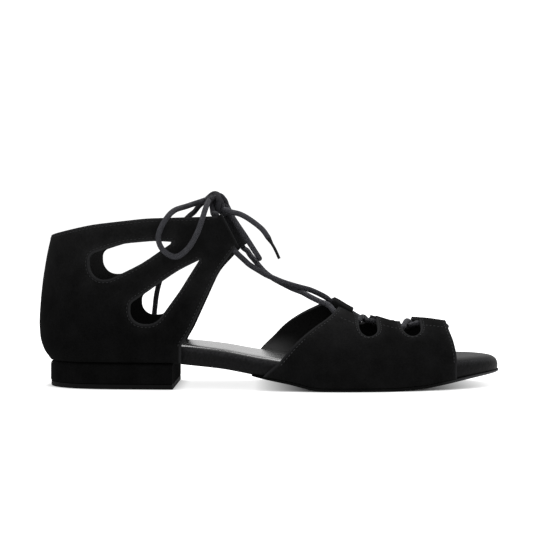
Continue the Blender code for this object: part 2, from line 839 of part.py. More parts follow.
def make_vamp(side, suede):
    columns = 18
    skirt_rows = 2
    arch_rows = 10
    name = "vamp_" + SIDE_WORDS[side]
    rises = [SKIRT_SHARE * row / skirt_rows for row in range(skirt_rows)]
    rises += [blend(SKIRT_SHARE, 1.0, row / arch_rows) for row in range(arch_rows + 1)]
    grid = []
    for rise in rises:
        grid.append([vamp_grid_point(side, place / columns, rise) for place in range(columns + 1)])
    vamp = wall(name, grid, suede)
    notches = bmesh.new()
    for tab, ahead, bottom in zip(VAMP_TABS, VAMP_TABS[1:], NOTCH_BOTTOM[side]):
        radius = NOTCH_ROUND * (ahead.rear - tab.front) / 2
        outline = rounded((
            Corner(tab.front, bottom, radius),
            Corner(ahead.rear, bottom, radius),
            Corner(ahead.rear, REACH, 0.0),
            Corner(tab.front, REACH, 0.0),
        ))
        add_prism(notches, outline, -REACH, REACH)
    boolean(vamp, "DIFFERENCE", helper(name + "_notches", notches))
    folds = bmesh.new()
    bores = bmesh.new()
    for tab in VAMP_TABS:
        route = tunnel_route(side, tab)
        add_tube(folds, route, TUNNEL_RADIUS, 12)
        add_tube(bores, longer(route, BORE_PAST), BORE_RADIUS, 10)
    boolean(vamp, "UNION", helper(name + "_folds", folds))
    boolean(vamp, "DIFFERENCE", helper(name + "_bores", bores))


def mouth(route, end):
    """A tunnel's open end, and the way out of it."""
    if end == "first":
        return route[0], (route[0] - route[1]).normalized()
    return route[-1], (route[-1] - route[-2]).normalized()


def make_lace(braid, tip):
    tabs = {side: [tunnel_route(side, tab) for tab in VAMP_TABS] for side in (OUTER, INNER)}
    ankle = {side: tab_tunnel_route(side) for side in (OUTER, INNER)}
    toe_ends = [mouth(tabs[side][2], "last") for side in (OUTER, INNER)]
    crossing("lace_toe_bar", [short_strand(*toe_ends, BAR_LIFT)], braid)
    for name, rear, front in (("lace_cross_front", 1, 2), ("lace_cross_middle", 0, 1)):
        leave = {side: mouth(tabs[side][rear], "last") for side in (OUTER, INNER)}
        arrive = {side: mouth(tabs[side][front], "first") for side in (OUTER, INNER)}
        crossing(name, [
            short_strand(leave[OUTER], arrive[INNER], OVER_LIFT),
            short_strand(leave[INNER], arrive[OUTER], UNDER_LIFT),
        ], braid)
    ankle_foot = {side: mouth(ankle[side], "first") for side in (OUTER, INNER)}
    tab_rear = {side: mouth(tabs[side][0], "first") for side in (OUTER, INNER)}
    crossing("lace_cross_instep", [
        strand(ankle_foot[INNER], tab_rear[OUTER], INSTEP_UNDER_ROUTE),
        strand(ankle_foot[OUTER], tab_rear[INNER], INSTEP_OVER_ROUTE),
    ], braid)

    bm = bmesh.new()
    bmesh.ops.create_uvsphere(bm, u_segments=14, v_segments=10, radius=1.0)
    for vert in bm.verts:
        place = Vector(size * part for size, part in zip(KNOT_SIZE, vert.co))
        vert.co = (place + Vector(KNOT_CENTRE)) * MM
    knot = mesh_object("lace_knot", bm, braid)
    riser_lead = 2.5
    riser_spacing = 3.0
    for side in (OUTER, INNER):
        start, way = mouth(ankle[side], "last")
        centre = Vector(KNOT_CENTRE)
        into_knot = centre + Vector((0, side * LACE_RADIUS, 0))
        rise = (start + way * MOUTH_CLEAR, start + way * riser_lead, into_knot)
        route = smooth_route(rise, riser_spacing)
        bm = bmesh.new()
        add_tube(bm, route, LACE_RADIUS, 10)
        boolean(knot, "UNION", helper("lace_riser_" + SIDE_WORDS[side], bm))
    cord("lace_loop_outer", LOOP_OUTER_ROUTE, LACE_RADIUS, braid)
    cord("lace_loop_front", LOOP_FRONT_ROUTE, LACE_RADIUS, braid)
    cord("lace_end_front", END_FRONT_ROUTE, LACE_RADIUS, braid)
    cord("lace_end_inner", END_INNER_ROUTE, LACE_RADIUS, braid)
    cord("lace_tip_front", TIP_FRONT_ROUTE, TIP_RADIUS, tip)
    cord("lace_tip_inner", TIP_INNER_ROUTE, TIP_RADIUS, tip)


for old in list(bpy.data.objects):
    bpy.data.objects.remove(old)
sandal = bpy.data.objects.new("sandal", None)
bpy.context.collection.objects.link(sandal)
sandal.location = (0.0, AXIS_SHIFT * MM, 0.0)
cutter_finish = material("cutter", (0.6, 0.2, 0.2), 0.5)
black_suede = material("black_suede", (0.006, 0.006, 0.006), 0.95)
black_leather = material("black_leather", (0.008, 0.008, 0.008), 0.35)
black_rubber = material("black_rubber", (0.012, 0.012, 0.012), 0.7)
grey_braid = material("grey_braid", (0.03, 0.032, 0.036), 0.8)
black_tip = material("black_tip", (0.01, 0.01, 0.01), 0.4)

make_sole(black_suede, black_leather, black_rubber)
make_quarter(black_suede)
make_vamp(OUTER, black_suede)
make_vamp(INNER, black_suede)
make_lace(grey_braid, black_tip)
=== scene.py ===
# %% [markdown]
# # A black suede dance sandal
# This lesson dresses the solid parts of a low-heeled lace-up dance sandal so that a picture of it looks like
# the photographed one. Each piece repeats the size and shape of its solid with a finer mesh, rolled edges,
# stitches and its own surface. Toe is +X, the outer side of the right foot is -Y, and the floor is at Z = 0.

# %% Load the solids
import math
from collections import namedtuple

import bmesh
import bpy
import numpy as np
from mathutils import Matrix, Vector
from mathutils.geometry import delaunay_2d_cdt


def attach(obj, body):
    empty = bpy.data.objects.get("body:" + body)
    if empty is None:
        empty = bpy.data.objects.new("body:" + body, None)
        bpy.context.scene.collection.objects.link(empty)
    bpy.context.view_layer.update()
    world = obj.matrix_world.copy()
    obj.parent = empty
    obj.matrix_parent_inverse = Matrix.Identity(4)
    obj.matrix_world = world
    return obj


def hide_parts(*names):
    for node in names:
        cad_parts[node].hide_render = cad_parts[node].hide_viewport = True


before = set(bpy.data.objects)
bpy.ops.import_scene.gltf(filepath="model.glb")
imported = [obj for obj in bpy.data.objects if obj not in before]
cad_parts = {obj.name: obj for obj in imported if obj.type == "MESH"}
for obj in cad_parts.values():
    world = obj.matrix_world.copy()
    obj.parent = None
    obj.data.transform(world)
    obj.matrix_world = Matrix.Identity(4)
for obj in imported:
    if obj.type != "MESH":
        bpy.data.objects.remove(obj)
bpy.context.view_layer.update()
bpy.ops.object.select_all(action="DESELECT")
MM = 0.001
OUTER, INNER = -1, 1
SIDE_WORDS = {OUTER: "outer", INNER: "inner"}
AXIS_SHIFT = 1.4  # millimetres across, from the frame's axis to the axis of the last

# %% [markdown]
# ## The camera
# The photograph looks level and square at the outer side, a little above half the shoe's height, with a
# long lens. A level camera keeps the heel's edges upright, as they are in the photograph.

# %% Place the camera
CAMERA_AT = (-0.00135, -0.649, 0.0642)
SENSOR_WIDTH, LENS = 36, 80.4
bpy.ops.object.camera_add(location=CAMERA_AT, rotation=(math.radians(90), 0, 0))
camera = bpy.context.object
camera.data.sensor_width = SENSOR_WIDTH
camera.data.lens = LENS
bpy.context.scene.camera = camera
print("camera:", round(-CAMERA_AT[1] / MM), "mm from the middle of the shoe")

# %% [markdown]
# ## The free lace
# The lace is a round braid about 3 mm thick. Above the collar it is tied in a bow: one loop hangs over the
# outer collar, the other is seen edge-on in front, one end falls forward and one goes over the inner
# collar. Each end has a thin tip that flares where it takes in the lace. A curve with a round bevel is the
# natural way to make a cord, because its line can be moved at any time.

# %% Routes of the free lace, in metres
LACE_RADIUS = 0.0015
TIP_RADIUS = 0.0008
TIP_FLARE, FLARE_LENGTH = 0.85, 0.004
CORD_SPACING, PATH_SPACING = 0.0008, 0.001
FREE_ROUTES = {
    "loop_outer": (
        (-0.0342, -0.0016, 0.1005), (-0.0435, -0.0126, 0.0966), (-0.0500, -0.0243, 0.0934),
        (-0.0544, -0.0307, 0.0875), (-0.0574, -0.0322, 0.0796), (-0.0550, -0.0328, 0.0728),
        (-0.0484, -0.0329, 0.0692), (-0.0419, -0.0328, 0.0736), (-0.0376, -0.0306, 0.0810),
        (-0.0355, -0.0281, 0.0870), (-0.0339, -0.0241, 0.0930), (-0.0329, -0.0150, 0.0976),
        (-0.0326, -0.0058, 0.0996),
    ),
    "loop_front": (
        (-0.0232, 0.0034, 0.0964), (-0.0214, 0.0028, 0.0935), (-0.0194, 0.0010, 0.0904),
        (-0.0166, -0.0030, 0.0861), (-0.0128, -0.0068, 0.0805), (-0.0089, -0.0078, 0.0744),
        (-0.0062, -0.0060, 0.0702), (-0.0052, -0.0014, 0.0686), (-0.0062, 0.0032, 0.0702),
        (-0.0089, 0.0053, 0.0744), (-0.0131, 0.0066, 0.0806), (-0.0193, 0.0076, 0.0902),
        (-0.0234, 0.0070, 0.0982),
    ),
    "end_front": (
        (-0.0250, -0.0025, 0.0955), (-0.0206, -0.0042, 0.0938), (-0.0154, -0.0050, 0.0924),
        (-0.0098, -0.0054, 0.0892), (-0.0038, -0.0056, 0.0844), (-0.0004, -0.0056, 0.0798),
    ),
    "end_inner": (
        (-0.0340, 0.0040, 0.1012), (-0.0385, 0.0104, 0.0980), (-0.0418, 0.0179, 0.0948),
        (-0.0456, 0.0256, 0.0924), (-0.0504, 0.0320, 0.0875), (-0.0550, 0.0338, 0.0770),
        (-0.0600, 0.0346, 0.0640), (-0.0642, 0.0352, 0.0500), (-0.0660, 0.0356, 0.0360),
    ),
}
TIP_ROUTES = {
    "tip_front": ((-0.0004, -0.0056, 0.0798), (0.0030, -0.0056, 0.0740), (0.0056, -0.0056, 0.0684)),
    "tip_inner": ((-0.0660, 0.0356, 0.0360), (-0.0666, 0.0356, 0.0290), (-0.0672, 0.0354, 0.0226)),
}


# %% Draw a smooth round cord through a route
def smooth_route(points, spacing):
    """Points at an even spacing on a smooth curve through the route's own points."""
    fine = 24
    knots = [Vector(point) for point in points]
    knots = [knots[0] * 2 - knots[1], *knots, knots[-1] * 2 - knots[-2]]
    line = []
    for a, b, c, d in zip(knots, knots[1:], knots[2:], knots[3:]):
        for step in range(fine):
            t = step / fine
            pull = (c - a) * t + (a * 2 - b * 5 + c * 4 - d) * t ** 2 + (b * 3 - a - c * 3 + d) * t ** 3
            line.append(b + pull / 2)
    return spaced([*line, knots[-2]], spacing)


def spaced(line, spacing):
    """The same line with its points at an even spacing."""
    lengths = [0.0]
    for here, ahead in zip(line, line[1:]):
        lengths.append(lengths[-1] + (ahead - here).length)
    count = max(1, round(lengths[-1] / spacing))
    even = []
    place = 0
    for step in range(count + 1):
        wanted = lengths[-1] * step / count
        while place < len(line) - 2 and lengths[place + 1] < wanted:
            place += 1
        share = (wanted - lengths[place]) / max(lengths[place + 1] - lengths[place], 1e-12)
        even.append(line[place].lerp(line[place + 1], share))
    return even


def length_of(line):
    return sum((b - a).length for a, b in zip(line, line[1:]))


def tube(name, route, radius, flare):
    """A curve with a round bevel, made a mesh whose UV map keeps the way along it in millimetres."""
    line = smooth_route(route, CORD_SPACING)
    curve = bpy.data.curves.new(name, "CURVE")
    curve.dimensions = "3D"
    curve.bevel_depth = radius
    curve.bevel_resolution = 4
    curve.use_fill_caps = True
    spline = curve.splines.new("POLY")
    spline.points.add(len(line) - 1)
    spline.use_smooth = True
    for place, point in zip(spline.points, line):
        place.co = (*point, 1.0)
        place.radius = 1.0 + flare * max(1.0 - (point - line[0]).length / FLARE_LENGTH, 0.0)
    made = bpy.data.objects.new(name, curve)
    bpy.context.collection.objects.link(made)
    select_only(made)
    bpy.ops.object.convert(target="MESH")
    made = bpy.context.object
    for place in made.data.uv_layers[0].data:
        place.uv[1] *= length_of(line) / MM
    return made


def select_only(*pieces):
    bpy.ops.object.select_all(action="DESELECT")
    for piece in pieces:
        piece.select_set(True)
    bpy.context.view_layer.objects.active = pieces[0]


def cord(name, routes, radius, flare=0.0):
    """One mesh with a tube along each route, thicker at its start where it has a flare."""
    tubes = [tube(name, route, radius, flare) for route in routes]
    select_only(*tubes)
    if len(tubes) > 1:
        bpy.ops.object.join()
    tubes[0].name = name
    return tubes[0]


free_lace, lace_tips = {}, {}
for name, route in FREE_ROUTES.items():
    free_lace[name] = cord("lace_" + name + "_braid", [route], LACE_RADIUS)
    print(name, round(length_of(smooth_route(route, PATH_SPACING)) / MM, 1), "mm")
for name, route in TIP_ROUTES.items():
    lace_tips[name] = cord("lace_" + name + "_shrunk", [route], TIP_RADIUS, TIP_FLARE)
    print(name, round(length_of(smooth_route(route, PATH_SPACING)) / MM, 1), "mm")

# %% [markdown]
# ## The last
# A shoe is built on a last, the shape of the foot. Its sizes are short tables: the plan of the sole, the
# bed with its arch and toe spring, the girth of the heel part by height, and the arch of the vamp.
# All sizes from here to the lace are millimetres, and MM turns them into metres when a mesh is made.

# %% Tables of the sole
HEEL_END, TOE_END = -115.2, 125.0
OUTSOLE_REAR, HEEL_BREAST = -9.0, -50.2
GAP, WALL = 0.3, 1.8
Plan = namedtuple("Plan", "along outer inner")
PLATFORM_PLAN = (
    Plan(HEEL_END, 0.0, 0.0), Plan(-108.0, 17.0, 17.0), Plan(-98.0, 23.6, 23.6), Plan(-85.0, 26.6, 26.4),
    Plan(-68.0, 27.9, 26.8), Plan(-45.0, 29.6, 26.0), Plan(-20.0, 33.0, 25.2), Plan(0.0, 36.8, 27.2),
    Plan(20.0, 40.0, 31.8), Plan(38.0, 41.4, 36.2), Plan(55.0, 40.4, 38.6), Plan(72.0, 36.9, 38.2),
    Plan(88.0, 32.0, 35.6), Plan(103.0, 25.6, 30.6), Plan(115.0, 17.2, 23.0), Plan(122.0, 8.8, 14.6),
    Plan(TOE_END, -3.0, 3.0),
)
Bed = namedtuple("Bed", "along under thick")
PLATFORM_BED = (
    Bed(-126.0, 13.9, 9.0), Bed(-52.0, 13.5, 8.6), Bed(-40.0, 12.5, 9.0), Bed(-24.0, 10.9, 8.8),
    Bed(-9.0, 8.3, 8.7), Bed(10.0, 5.2, 8.9), Bed(28.0, 1.8, 9.5), Bed(60.0, 1.8, 9.3),
    Bed(78.0, 2.7, 9.0), Bed(95.0, 5.2, 8.8), Bed(110.0, 7.4, 7.5), Bed(127.0, 9.2, 5.5),
)
Tread = namedtuple("Tread", "along margin thick")
OUTSOLE_EDGE = (
    Tread(OUTSOLE_REAR, 0.0, 0.5), Tread(-3.5, 1.4, 0.9), Tread(6.0, 2.0, 1.2), Tread(16.0, 2.0, 1.4),
    Tread(27.0, 2.0, 1.5), Tread(92.0, 2.0, 1.5), Tread(101.0, 0.6, 1.4), Tread(127.0, 0.4, 0.9),
)

# %% Tables of the upper
Girth = namedtuple("Girth", "height back_swell side_swell front_outer front_inner")
QUARTER_GIRTH = (
    Girth(13.9, 3.4, 2.2, 33.6, 28.4), Girth(20.0, 7.5, 3.0, 33.4, 28.2),
    Girth(27.0, 9.4, 3.7, 32.6, 27.8), Girth(34.0, 9.8, 4.0, 31.4, 27.0),
    Girth(45.0, 9.2, 3.6, 28.8, 25.6), Girth(55.0, 8.2, 2.8, 26.0, 23.4),
    Girth(65.0, 6.7, 2.0, 22.4, 20.4), Girth(75.0, 4.8, 1.6, 18.8, 16.8),
    Girth(85.0, 2.3, 1.4, 16.2, 14.0), Girth(97.0, -0.9, 1.3, 14.4, 12.2),
)
CLOSING_FROM, CLOSING_TO, MOST_CLOSING = -75.0, -16.0, 1.4
Arch = namedtuple("Arch", "along ridge ridge_side throat_outer throat_inner")
VAMP_ARCH = (
    Arch(-16.0, 62.0, 3.0, 17.0, 12.0), Arch(5.0, 56.5, 5.0, 17.5, 12.0),
    Arch(20.0, 52.0, 6.3, 17.5, 12.0), Arch(36.0, 48.2, 6.5, 17.5, 12.0),
    Arch(47.0, 42.6, 5.0, 18.0, 13.0), Arch(57.0, 39.9, -1.0, 14.5, 16.0),
    Arch(70.0, 36.8, -1.0, 14.0, 16.0), Arch(80.0, 39.1, -1.5, 13.6, 16.0),
    Arch(95.0, 37.5, -1.5, 13.0, 16.0),
)
SKIRT_SHARE = 0.16
VampEnd = namedtuple("VampEnd", "height rear_outer rear_inner front")
VAMP_ENDS = (
    VampEnd(2.0, -8.0, -15.0, 98.0), VampEnd(9.0, -1.7, -10.5, 98.0), VampEnd(15.0, 5.0, -6.3, 98.0),
    VampEnd(18.0, 7.6, -4.2, 97.8), VampEnd(25.0, 13.8, 2.8, 96.6), VampEnd(32.0, 22.3, 9.8, 94.8),
    VampEnd(38.0, 31.2, 18.6, 94.2), VampEnd(43.0, 37.0, 28.4, 94.0), VampEnd(47.0, 41.0, 36.4, 94.0),
)


# %% Smooth curves through the tables
class Smooth:
    """A smooth curve through rows of keys and values that never overshoots them."""

    def __init__(self, keys, values):
        self.keys, self.values = list(keys), list(values)
        pairs = zip(self.keys, self.keys[1:], self.values, self.values[1:])
        grades = [(d - c) / (b - a) for a, b, c, d in pairs]
        middle = [0.0 if a * b <= 0 else 2 * a * b / (a + b) for a, b in zip(grades, grades[1:])]
        self.slopes = [grades[0], *middle, grades[-1]]

    def __call__(self, key):
        key = min(max(key, self.keys[0]), self.keys[-1])
        row = 0
        while row < len(self.keys) - 2 and key > self.keys[row + 1]:
            row += 1
        step = self.keys[row + 1] - self.keys[row]
        t = (key - self.keys[row]) / step
        start = (1 + 2 * t) * (1 - t) ** 2 * self.values[row] + t * (1 - t) ** 2 * step * self.slopes[row]
        end = t * t * (3 - 2 * t) * self.values[row + 1] + t * t * (t - 1) * step * self.slopes[row + 1]
        return start + end


def column(rows, value, key="along"):
    return Smooth([getattr(row, key) for row in rows], [getattr(row, value) for row in rows])


def sides(rows, value, key="along"):
    return {side: column(rows, value + "_" + SIDE_WORDS[side], key) for side in (OUTER, INNER)}


def turn_of(along):
    """Share of the way from heel end to toe end, spread so that both round ends get close stations."""
    share = (along - HEEL_END) / (TOE_END - HEEL_END)
    return math.acos(1 - 2 * min(max(share, 0.0), 1.0)) / math.pi


def along_of(turn):
    return HEEL_END + (TOE_END - HEEL_END) * (1 - math.cos(math.pi * turn)) / 2


plan_turns = [turn_of(row.along) for row in PLATFORM_PLAN]
plan_edge = {
    OUTER: Smooth(plan_turns, [row.outer for row in PLATFORM_PLAN]),
    INNER: Smooth(plan_turns, [row.inner for row in PLATFORM_PLAN]),
}
under, thick = column(PLATFORM_BED, "under"), column(PLATFORM_BED, "thick")
tread_margin, tread_thick = column(OUTSOLE_EDGE, "margin"), column(OUTSOLE_EDGE, "thick")
back_swell = column(QUARTER_GIRTH, "back_swell", "height")
side_swell = column(QUARTER_GIRTH, "side_swell", "height")
front_half = sides(QUARTER_GIRTH, "front", "height")
ridge, ridge_side = column(VAMP_ARCH, "ridge"), column(VAMP_ARCH, "ridge_side")
throat = sides(VAMP_ARCH, "throat")
vamp_rear, vamp_front = sides(VAMP_ENDS, "rear", "height"), column(VAMP_ENDS, "front", "height")
print("curves read from", len(PLATFORM_PLAN) + len(QUARTER_GIRTH) + len(VAMP_ARCH), "rows")


# %% The outer faces of the last
def blend(start, end, share):
    return start + (end - start) * share


def bed_top(along):
    return under(along) + thick(along)


def plan_point(turn, side):
    return Vector((along_of(turn), side * plan_edge[side](turn)))


def plan_normal(turn, side):
    near = 0.002
    step = plan_point(min(turn + near, 1.0), side) - plan_point(max(turn - near, 0.0), side)
    if turn < near or turn > 1.0 - near:
        step.x = 0.0
    return Vector((-side * step.y, side * step.x)).normalized()


def set_out(turn, side, distance):
    """A point of the plan, moved out from the edge of the sole."""
    return plan_point(turn, side) + plan_normal(turn, side) * distance


def swell(turn, side, height):
    backward = max(-plan_normal(turn, side).x, 0.0) ** 2
    return blend(side_swell(height), back_swell(height), backward)


def quarter_point(turn, side, height):
    """A point on the quarter's outer face."""
    point = set_out(turn, side, swell(turn, side, height))
    share = min(max((point.x - CLOSING_FROM) / (CLOSING_TO - CLOSING_FROM), 0.0), MOST_CLOSING)
    return Vector((point.x, blend(point.y, side * front_half[side](height), share * share), height))


def throat_angle(along, side):
    half = plan_edge[side](turn_of(along)) + GAP + WALL - side * ridge_side(along)
    return half, math.acos((throat[side](along) - side * ridge_side(along)) / half)


def vamp_point(along, side, rise):
    """A point on the vamp's outer face: rise is 0 on the outsole and 1 at the throat."""
    half, last_angle = throat_angle(along, side)
    if rise < SKIRT_SHARE:
        height = blend(under(along), bed_top(along), rise / SKIRT_SHARE)
        return Vector((along, side * half + ridge_side(along), height))
    angle = last_angle * (rise - SKIRT_SHARE) / (1 - SKIRT_SHARE)
    across = side * half * math.cos(angle) + ridge_side(along)
    return Vector((along, across, bed_top(along) + (ridge(along) - bed_top(along)) * math.sin(angle)))


def vamp_grid_point(side, share, rise):
    """A point of the vamp between its slanting rear edge and its open toe."""
    easing = 0.7
    along = blend(VAMP_ENDS[0].rear_outer, VAMP_ENDS[0].front, share)
    for _ in range(14):
        height = vamp_point(along, side, rise).z
        along = blend(along, blend(vamp_rear[side](height), vamp_front(height), share), easing)
    return vamp_point(along, side, rise)


# %% [markdown]
# ## Cut flat, then lasted
# A shoemaker cuts each piece of the upper flat, with its windows and notches, and then pulls it over the
# last. The same is done here: an outline and its holes are filled with a net of triangles in the flat, and
# each corner of the net is then carried to its place on the last. The edges stay clean this way.
# A value called rim is kept on every corner: its distance in millimetres from the nearest cut edge.

# %% Fill a flat outline with a net
def rounded(corners, arc_step=math.radians(5)):
    """The open outline through (along, height, radius) corners, each turned on an arc of its radius."""
    points = []
    for place, (along, height, radius) in enumerate(corners):
        here = Vector((along, height))
        if radius == 0 or place in (0, len(corners) - 1):
            points.append(here)
            continue
        before = (Vector(corners[place - 1][:2]) - here).normalized()
        after = (Vector(corners[place + 1][:2]) - here).normalized()
        bend = math.pi - before.angle(after)
        centre = here + (before + after).normalized() * radius / math.cos(bend / 2)
        start = here + before * radius * math.tan(bend / 2) - centre
        end = here + after * radius * math.tan(bend / 2) - centre
        count = max(2, math.ceil(bend / arc_step))
        arms = [start.lerp(end, step / count).normalized() for step in range(count + 1)]
        points += [centre + arm * radius for arm in arms]
    return points


def inside(points, loop):
    """Which of the points lie inside a closed loop."""
    x, y = points[:, :1], points[:, 1:2]
    ends = np.roll(loop, -1, axis=0)
    spans = (loop[:, 1] > y) != (ends[:, 1] > y)
    rise = np.where(ends[:, 1] == loop[:, 1], 1.0, ends[:, 1] - loop[:, 1])
    cross = loop[:, 0] + (y - loop[:, 1]) * (ends[:, 0] - loop[:, 0]) / rise
    return (spans & (x < cross)).sum(axis=1) % 2 == 1


def rim_distance(points, starts, ends):
    """Distance of each point from the nearest of these segments."""
    way = ends - starts
    shares = ((points[:, None] - starts) * way).sum(-1) / np.maximum((way * way).sum(-1), 1e-9)
    nearest = starts + np.clip(shares, 0, 1)[..., None] * way
    return np.linalg.norm(points[:, None] - nearest, axis=-1).min(axis=1)


def in_piece(points, loops):
    kept = inside(points, loops[0])
    for hole in loops[1:]:
        kept &= ~inside(points, hole)
    return kept


ROW_SHARE, CLEAR_SHARE = 0.87, 0.55


def net(loops, spacing):
    """Corners and triangles that fill the first loop, less the holes of the others."""
    loops = [np.array([tuple(point) for point in loop], float) for loop in loops]
    low, high = loops[0].min(0), loops[0].max(0)
    columns = np.arange(low[0], high[0], spacing)
    across, up = np.meshgrid(columns, np.arange(low[1], high[1], spacing * ROW_SHARE))
    across = across + (np.arange(across.shape[0]) % 2)[:, None] * spacing / 2
    fill = np.stack([across.ravel(), up.ravel()], axis=1)
    fill = fill[in_piece(fill, loops)]
    starts = np.concatenate(loops)
    ends = np.concatenate([np.roll(loop, -1, axis=0) for loop in loops])
    fill = fill[rim_distance(fill, starts, ends) > spacing * CLEAR_SHARE]
    edges = []
    for loop in loops:
        first = len(edges)
        edges += [(first + place, first + (place + 1) % len(loop)) for place in range(len(loop))]
    corners = [Vector(point) for point in np.concatenate([starts, fill])]
    corners, _, faces, *_ = delaunay_2d_cdt(corners, edges, [], 0, 1e-4)
    corners = np.array([tuple(corner) for corner in corners])
    middles = np.array([corners[list(face)].mean(axis=0) for face in faces])
    kept = in_piece(middles, loops)
    return corners, [face for face, keep in zip(faces, kept) if keep]


# %% [markdown]
# ## Folded tunnels
# The lace runs in tunnels: the edge of each tab is folded over to the inside and stitched down. The fold is
# a strip that leaves the outer face, turns on a round of about 3 mm and comes back to lie by the lining. It
# could be a bent tube, but a strip that goes on from the face has no seam along the tab.

# %% Roll a strip over an edge
FOLD_RADIUS = 2.8
FOLD_TURN = math.radians(228)
FOLD_STEPS = 12
FLAP_ROWS = ((3.4, 4.0), (3.1, 6.0))  # depth below the outer face and way back from the edge


def fold_rows(edge, normals, towards):
    """Rows of points of a fold that starts on the outer face at the edge and turns inward."""
    rows = [list(edge)]
    for step in range(1, FOLD_STEPS + 1):
        angle = FOLD_TURN * step / FOLD_STEPS
        rows.append([
            point + (normal * (math.cos(angle) - 1) + way * math.sin(angle)) * FOLD_RADIUS
            for point, normal, way in zip(edge, normals, towards)
        ])
    for deep, back in FLAP_ROWS:
        rows.append([
            point - normal * deep - way * back for point, normal, way in zip(edge, normals, towards)
        ])
    return rows


def fold_frame(edge, normals, ahead):
    """Directions across the edge, in the outer face, on the side that ahead points to."""
    ways = []
    for place, normal in enumerate(normals):
        run = edge[min(place + 1, len(edge) - 1)] - edge[max(place - 1, 0)]
        way = run.cross(normal).normalized()
        ways.append(way if way.dot(ahead) > 0 else -way)
    return ways


# %% Press soft creases into a face
Crease = namedtuple("Crease", "start end width depth")
LEAST_CREASE = 0.01


def creased(lasted, away, creases):
    """The lasted face with soft troughs (depth above 0) and ridges (below 0) along short flat lines."""

    def point(across, up):
        place = Vector((across, up))
        shift = 0.0
        for start, end, width, depth in creases:
            way = Vector(end) - Vector(start)
            share = min(max((place - Vector(start)).dot(way) / way.length_squared, 0.0), 1.0)
            gap = (place - Vector(start) - way * share).length / width
            shift += depth * math.exp(-gap * gap)
        base = lasted(across, up)
        return base if abs(shift) < LEAST_CREASE else base - normal_of(lasted, away, place) * shift

    return point


def normal_of(lasted, away, place):
    """Outward direction of a lasted face at a place in the flat."""
    near = 0.4
    across, up = place
    run = lasted(across + near, up) - lasted(across - near, up)
    rise = lasted(across, up + near) - lasted(across, up - near)
    way = run.cross(rise).normalized()
    return way if way.dot(away(lasted(across, up))) > 0 else -way


# %% [markdown]
# ## One wall
# The net and its folds are sewn into one sheet. Solidify then gives it the thickness of suede and lining,
# inward from the outer face, and Bevel rounds the cut edges. The folds are skived, which means pared
# thinner, so that the lace has room in them. A value called lit on the folds says where they are painted
# lighter, as painted light.

# %% Helpers that place, link and finish a piece
def to_world(point):
    return Vector((point.x, point.y + AXIS_SHIFT, point.z)) * MM


def to_last(point):
    return point / MM - Vector((0.0, AXIS_SHIFT, 0.0))


def link(name, bm):
    mesh = bpy.data.meshes.new(name)
    bm.to_mesh(mesh)
    bm.free()
    made = bpy.data.objects.new(name, mesh)
    bpy.context.collection.objects.link(made)
    return made


def apply_all(piece):
    select_only(piece)
    for modifier in list(piece.modifiers):
        bpy.ops.object.modifier_apply(modifier=modifier.name)


# %% Sew the net and its folds into one sheet
FAR_FROM_EDGE = 6.0
MERGE_WITHIN = 0.02


def add_net(bm, layers, corners, faces, lasted, rims):
    verts = []
    for corner, distance in zip(corners, rims):
        vert = bm.verts.new(to_world(lasted(*corner)))
        vert[layers["rim"]] = distance
        vert[layers["full"]][0] = 1.0
        verts.append(vert)
    for face in faces:
        bm.faces.new([verts[place] for place in face])


def add_fold(bm, layers, rows, light):
    """A strip along the rows of a fold, where light pairs the number of a row with its lit value."""
    grid = []
    for place, row in enumerate(rows):
        made = [bm.verts.new(to_world(point)) for point in row]
        for vert in made:
            vert[layers["rim"]] = FAR_FROM_EDGE
            vert[layers["lit"]] = float(np.interp(place, *zip(*light)))
            vert[layers["full"]][0] = 1.0 if place == 0 else 0.0
        grid.append(made)
    for row, after in zip(grid, grid[1:]):
        for place in range(len(row) - 1):
            bm.faces.new((row[place], row[place + 1], after[place + 1], after[place]))


def sheet_of(name, flat, lasted, rims, folds, light, away):
    """The sewn sheet, with its faces turned away from the foot."""
    bm = bmesh.new()
    layers = {word: bm.verts.layers.float.new(word) for word in ("rim", "lit")}
    layers["full"] = bm.verts.layers.deform.verify()
    add_net(bm, layers, *flat, lasted, rims)
    for rows in folds:
        add_fold(bm, layers, rows, light)
    bmesh.ops.remove_doubles(bm, verts=bm.verts, dist=MERGE_WITHIN * MM)
    bmesh.ops.recalc_face_normals(bm, faces=bm.faces)
    bm.faces.ensure_lookup_table()
    face = bm.faces[0]
    if face.normal.dot(away(to_last(face.calc_center_median()))) < 0:
        bmesh.ops.reverse_faces(bm, faces=bm.faces)
    return link(name, bm)


# %% Give the sheet its thickness
LINING_SLOT = 1
SKIVED = 0.4  # share of the thickness that is left in a fold
EDGE_ROUND, EDGE_STEPS = 0.55, 3
SHARP = math.radians(50)


def sew(name, flat, lasted, rims, folds, light, away):
    """A wall of the upper with rounded cut edges, from a flat net and the rows of its folds."""
    piece = sheet_of(name, flat, lasted, rims, folds, light, away)
    for _ in range(LINING_SLOT + 1):
        piece.data.materials.append(None)
    piece.vertex_groups.new(name="full")
    wall = piece.modifiers.new("wall", "SOLIDIFY")
    wall.thickness = WALL * MM
    wall.offset = -1.0
    wall.vertex_group = "full"
    wall.thickness_vertex_group = SKIVED
    wall.material_offset = LINING_SLOT
    edge = piece.modifiers.new("edge", "BEVEL")
    edge.width = EDGE_ROUND * MM
    edge.segments = EDGE_STEPS
    edge.limit_method = "ANGLE"
    edge.angle_limit = SHARP
    apply_all(piece)
    bpy.ops.object.shade_smooth()
    print(name, len(piece.data.polygons), "faces")
    return piece


# %% [markdown]
# ## The quarter
# The quarter is the closed heel part: one wall round the heel with two teardrop windows in each side, a
# front strap, and a tab whose folded edge holds the lace. In the flat it is a long band, with the
# distance round the heel as its width.

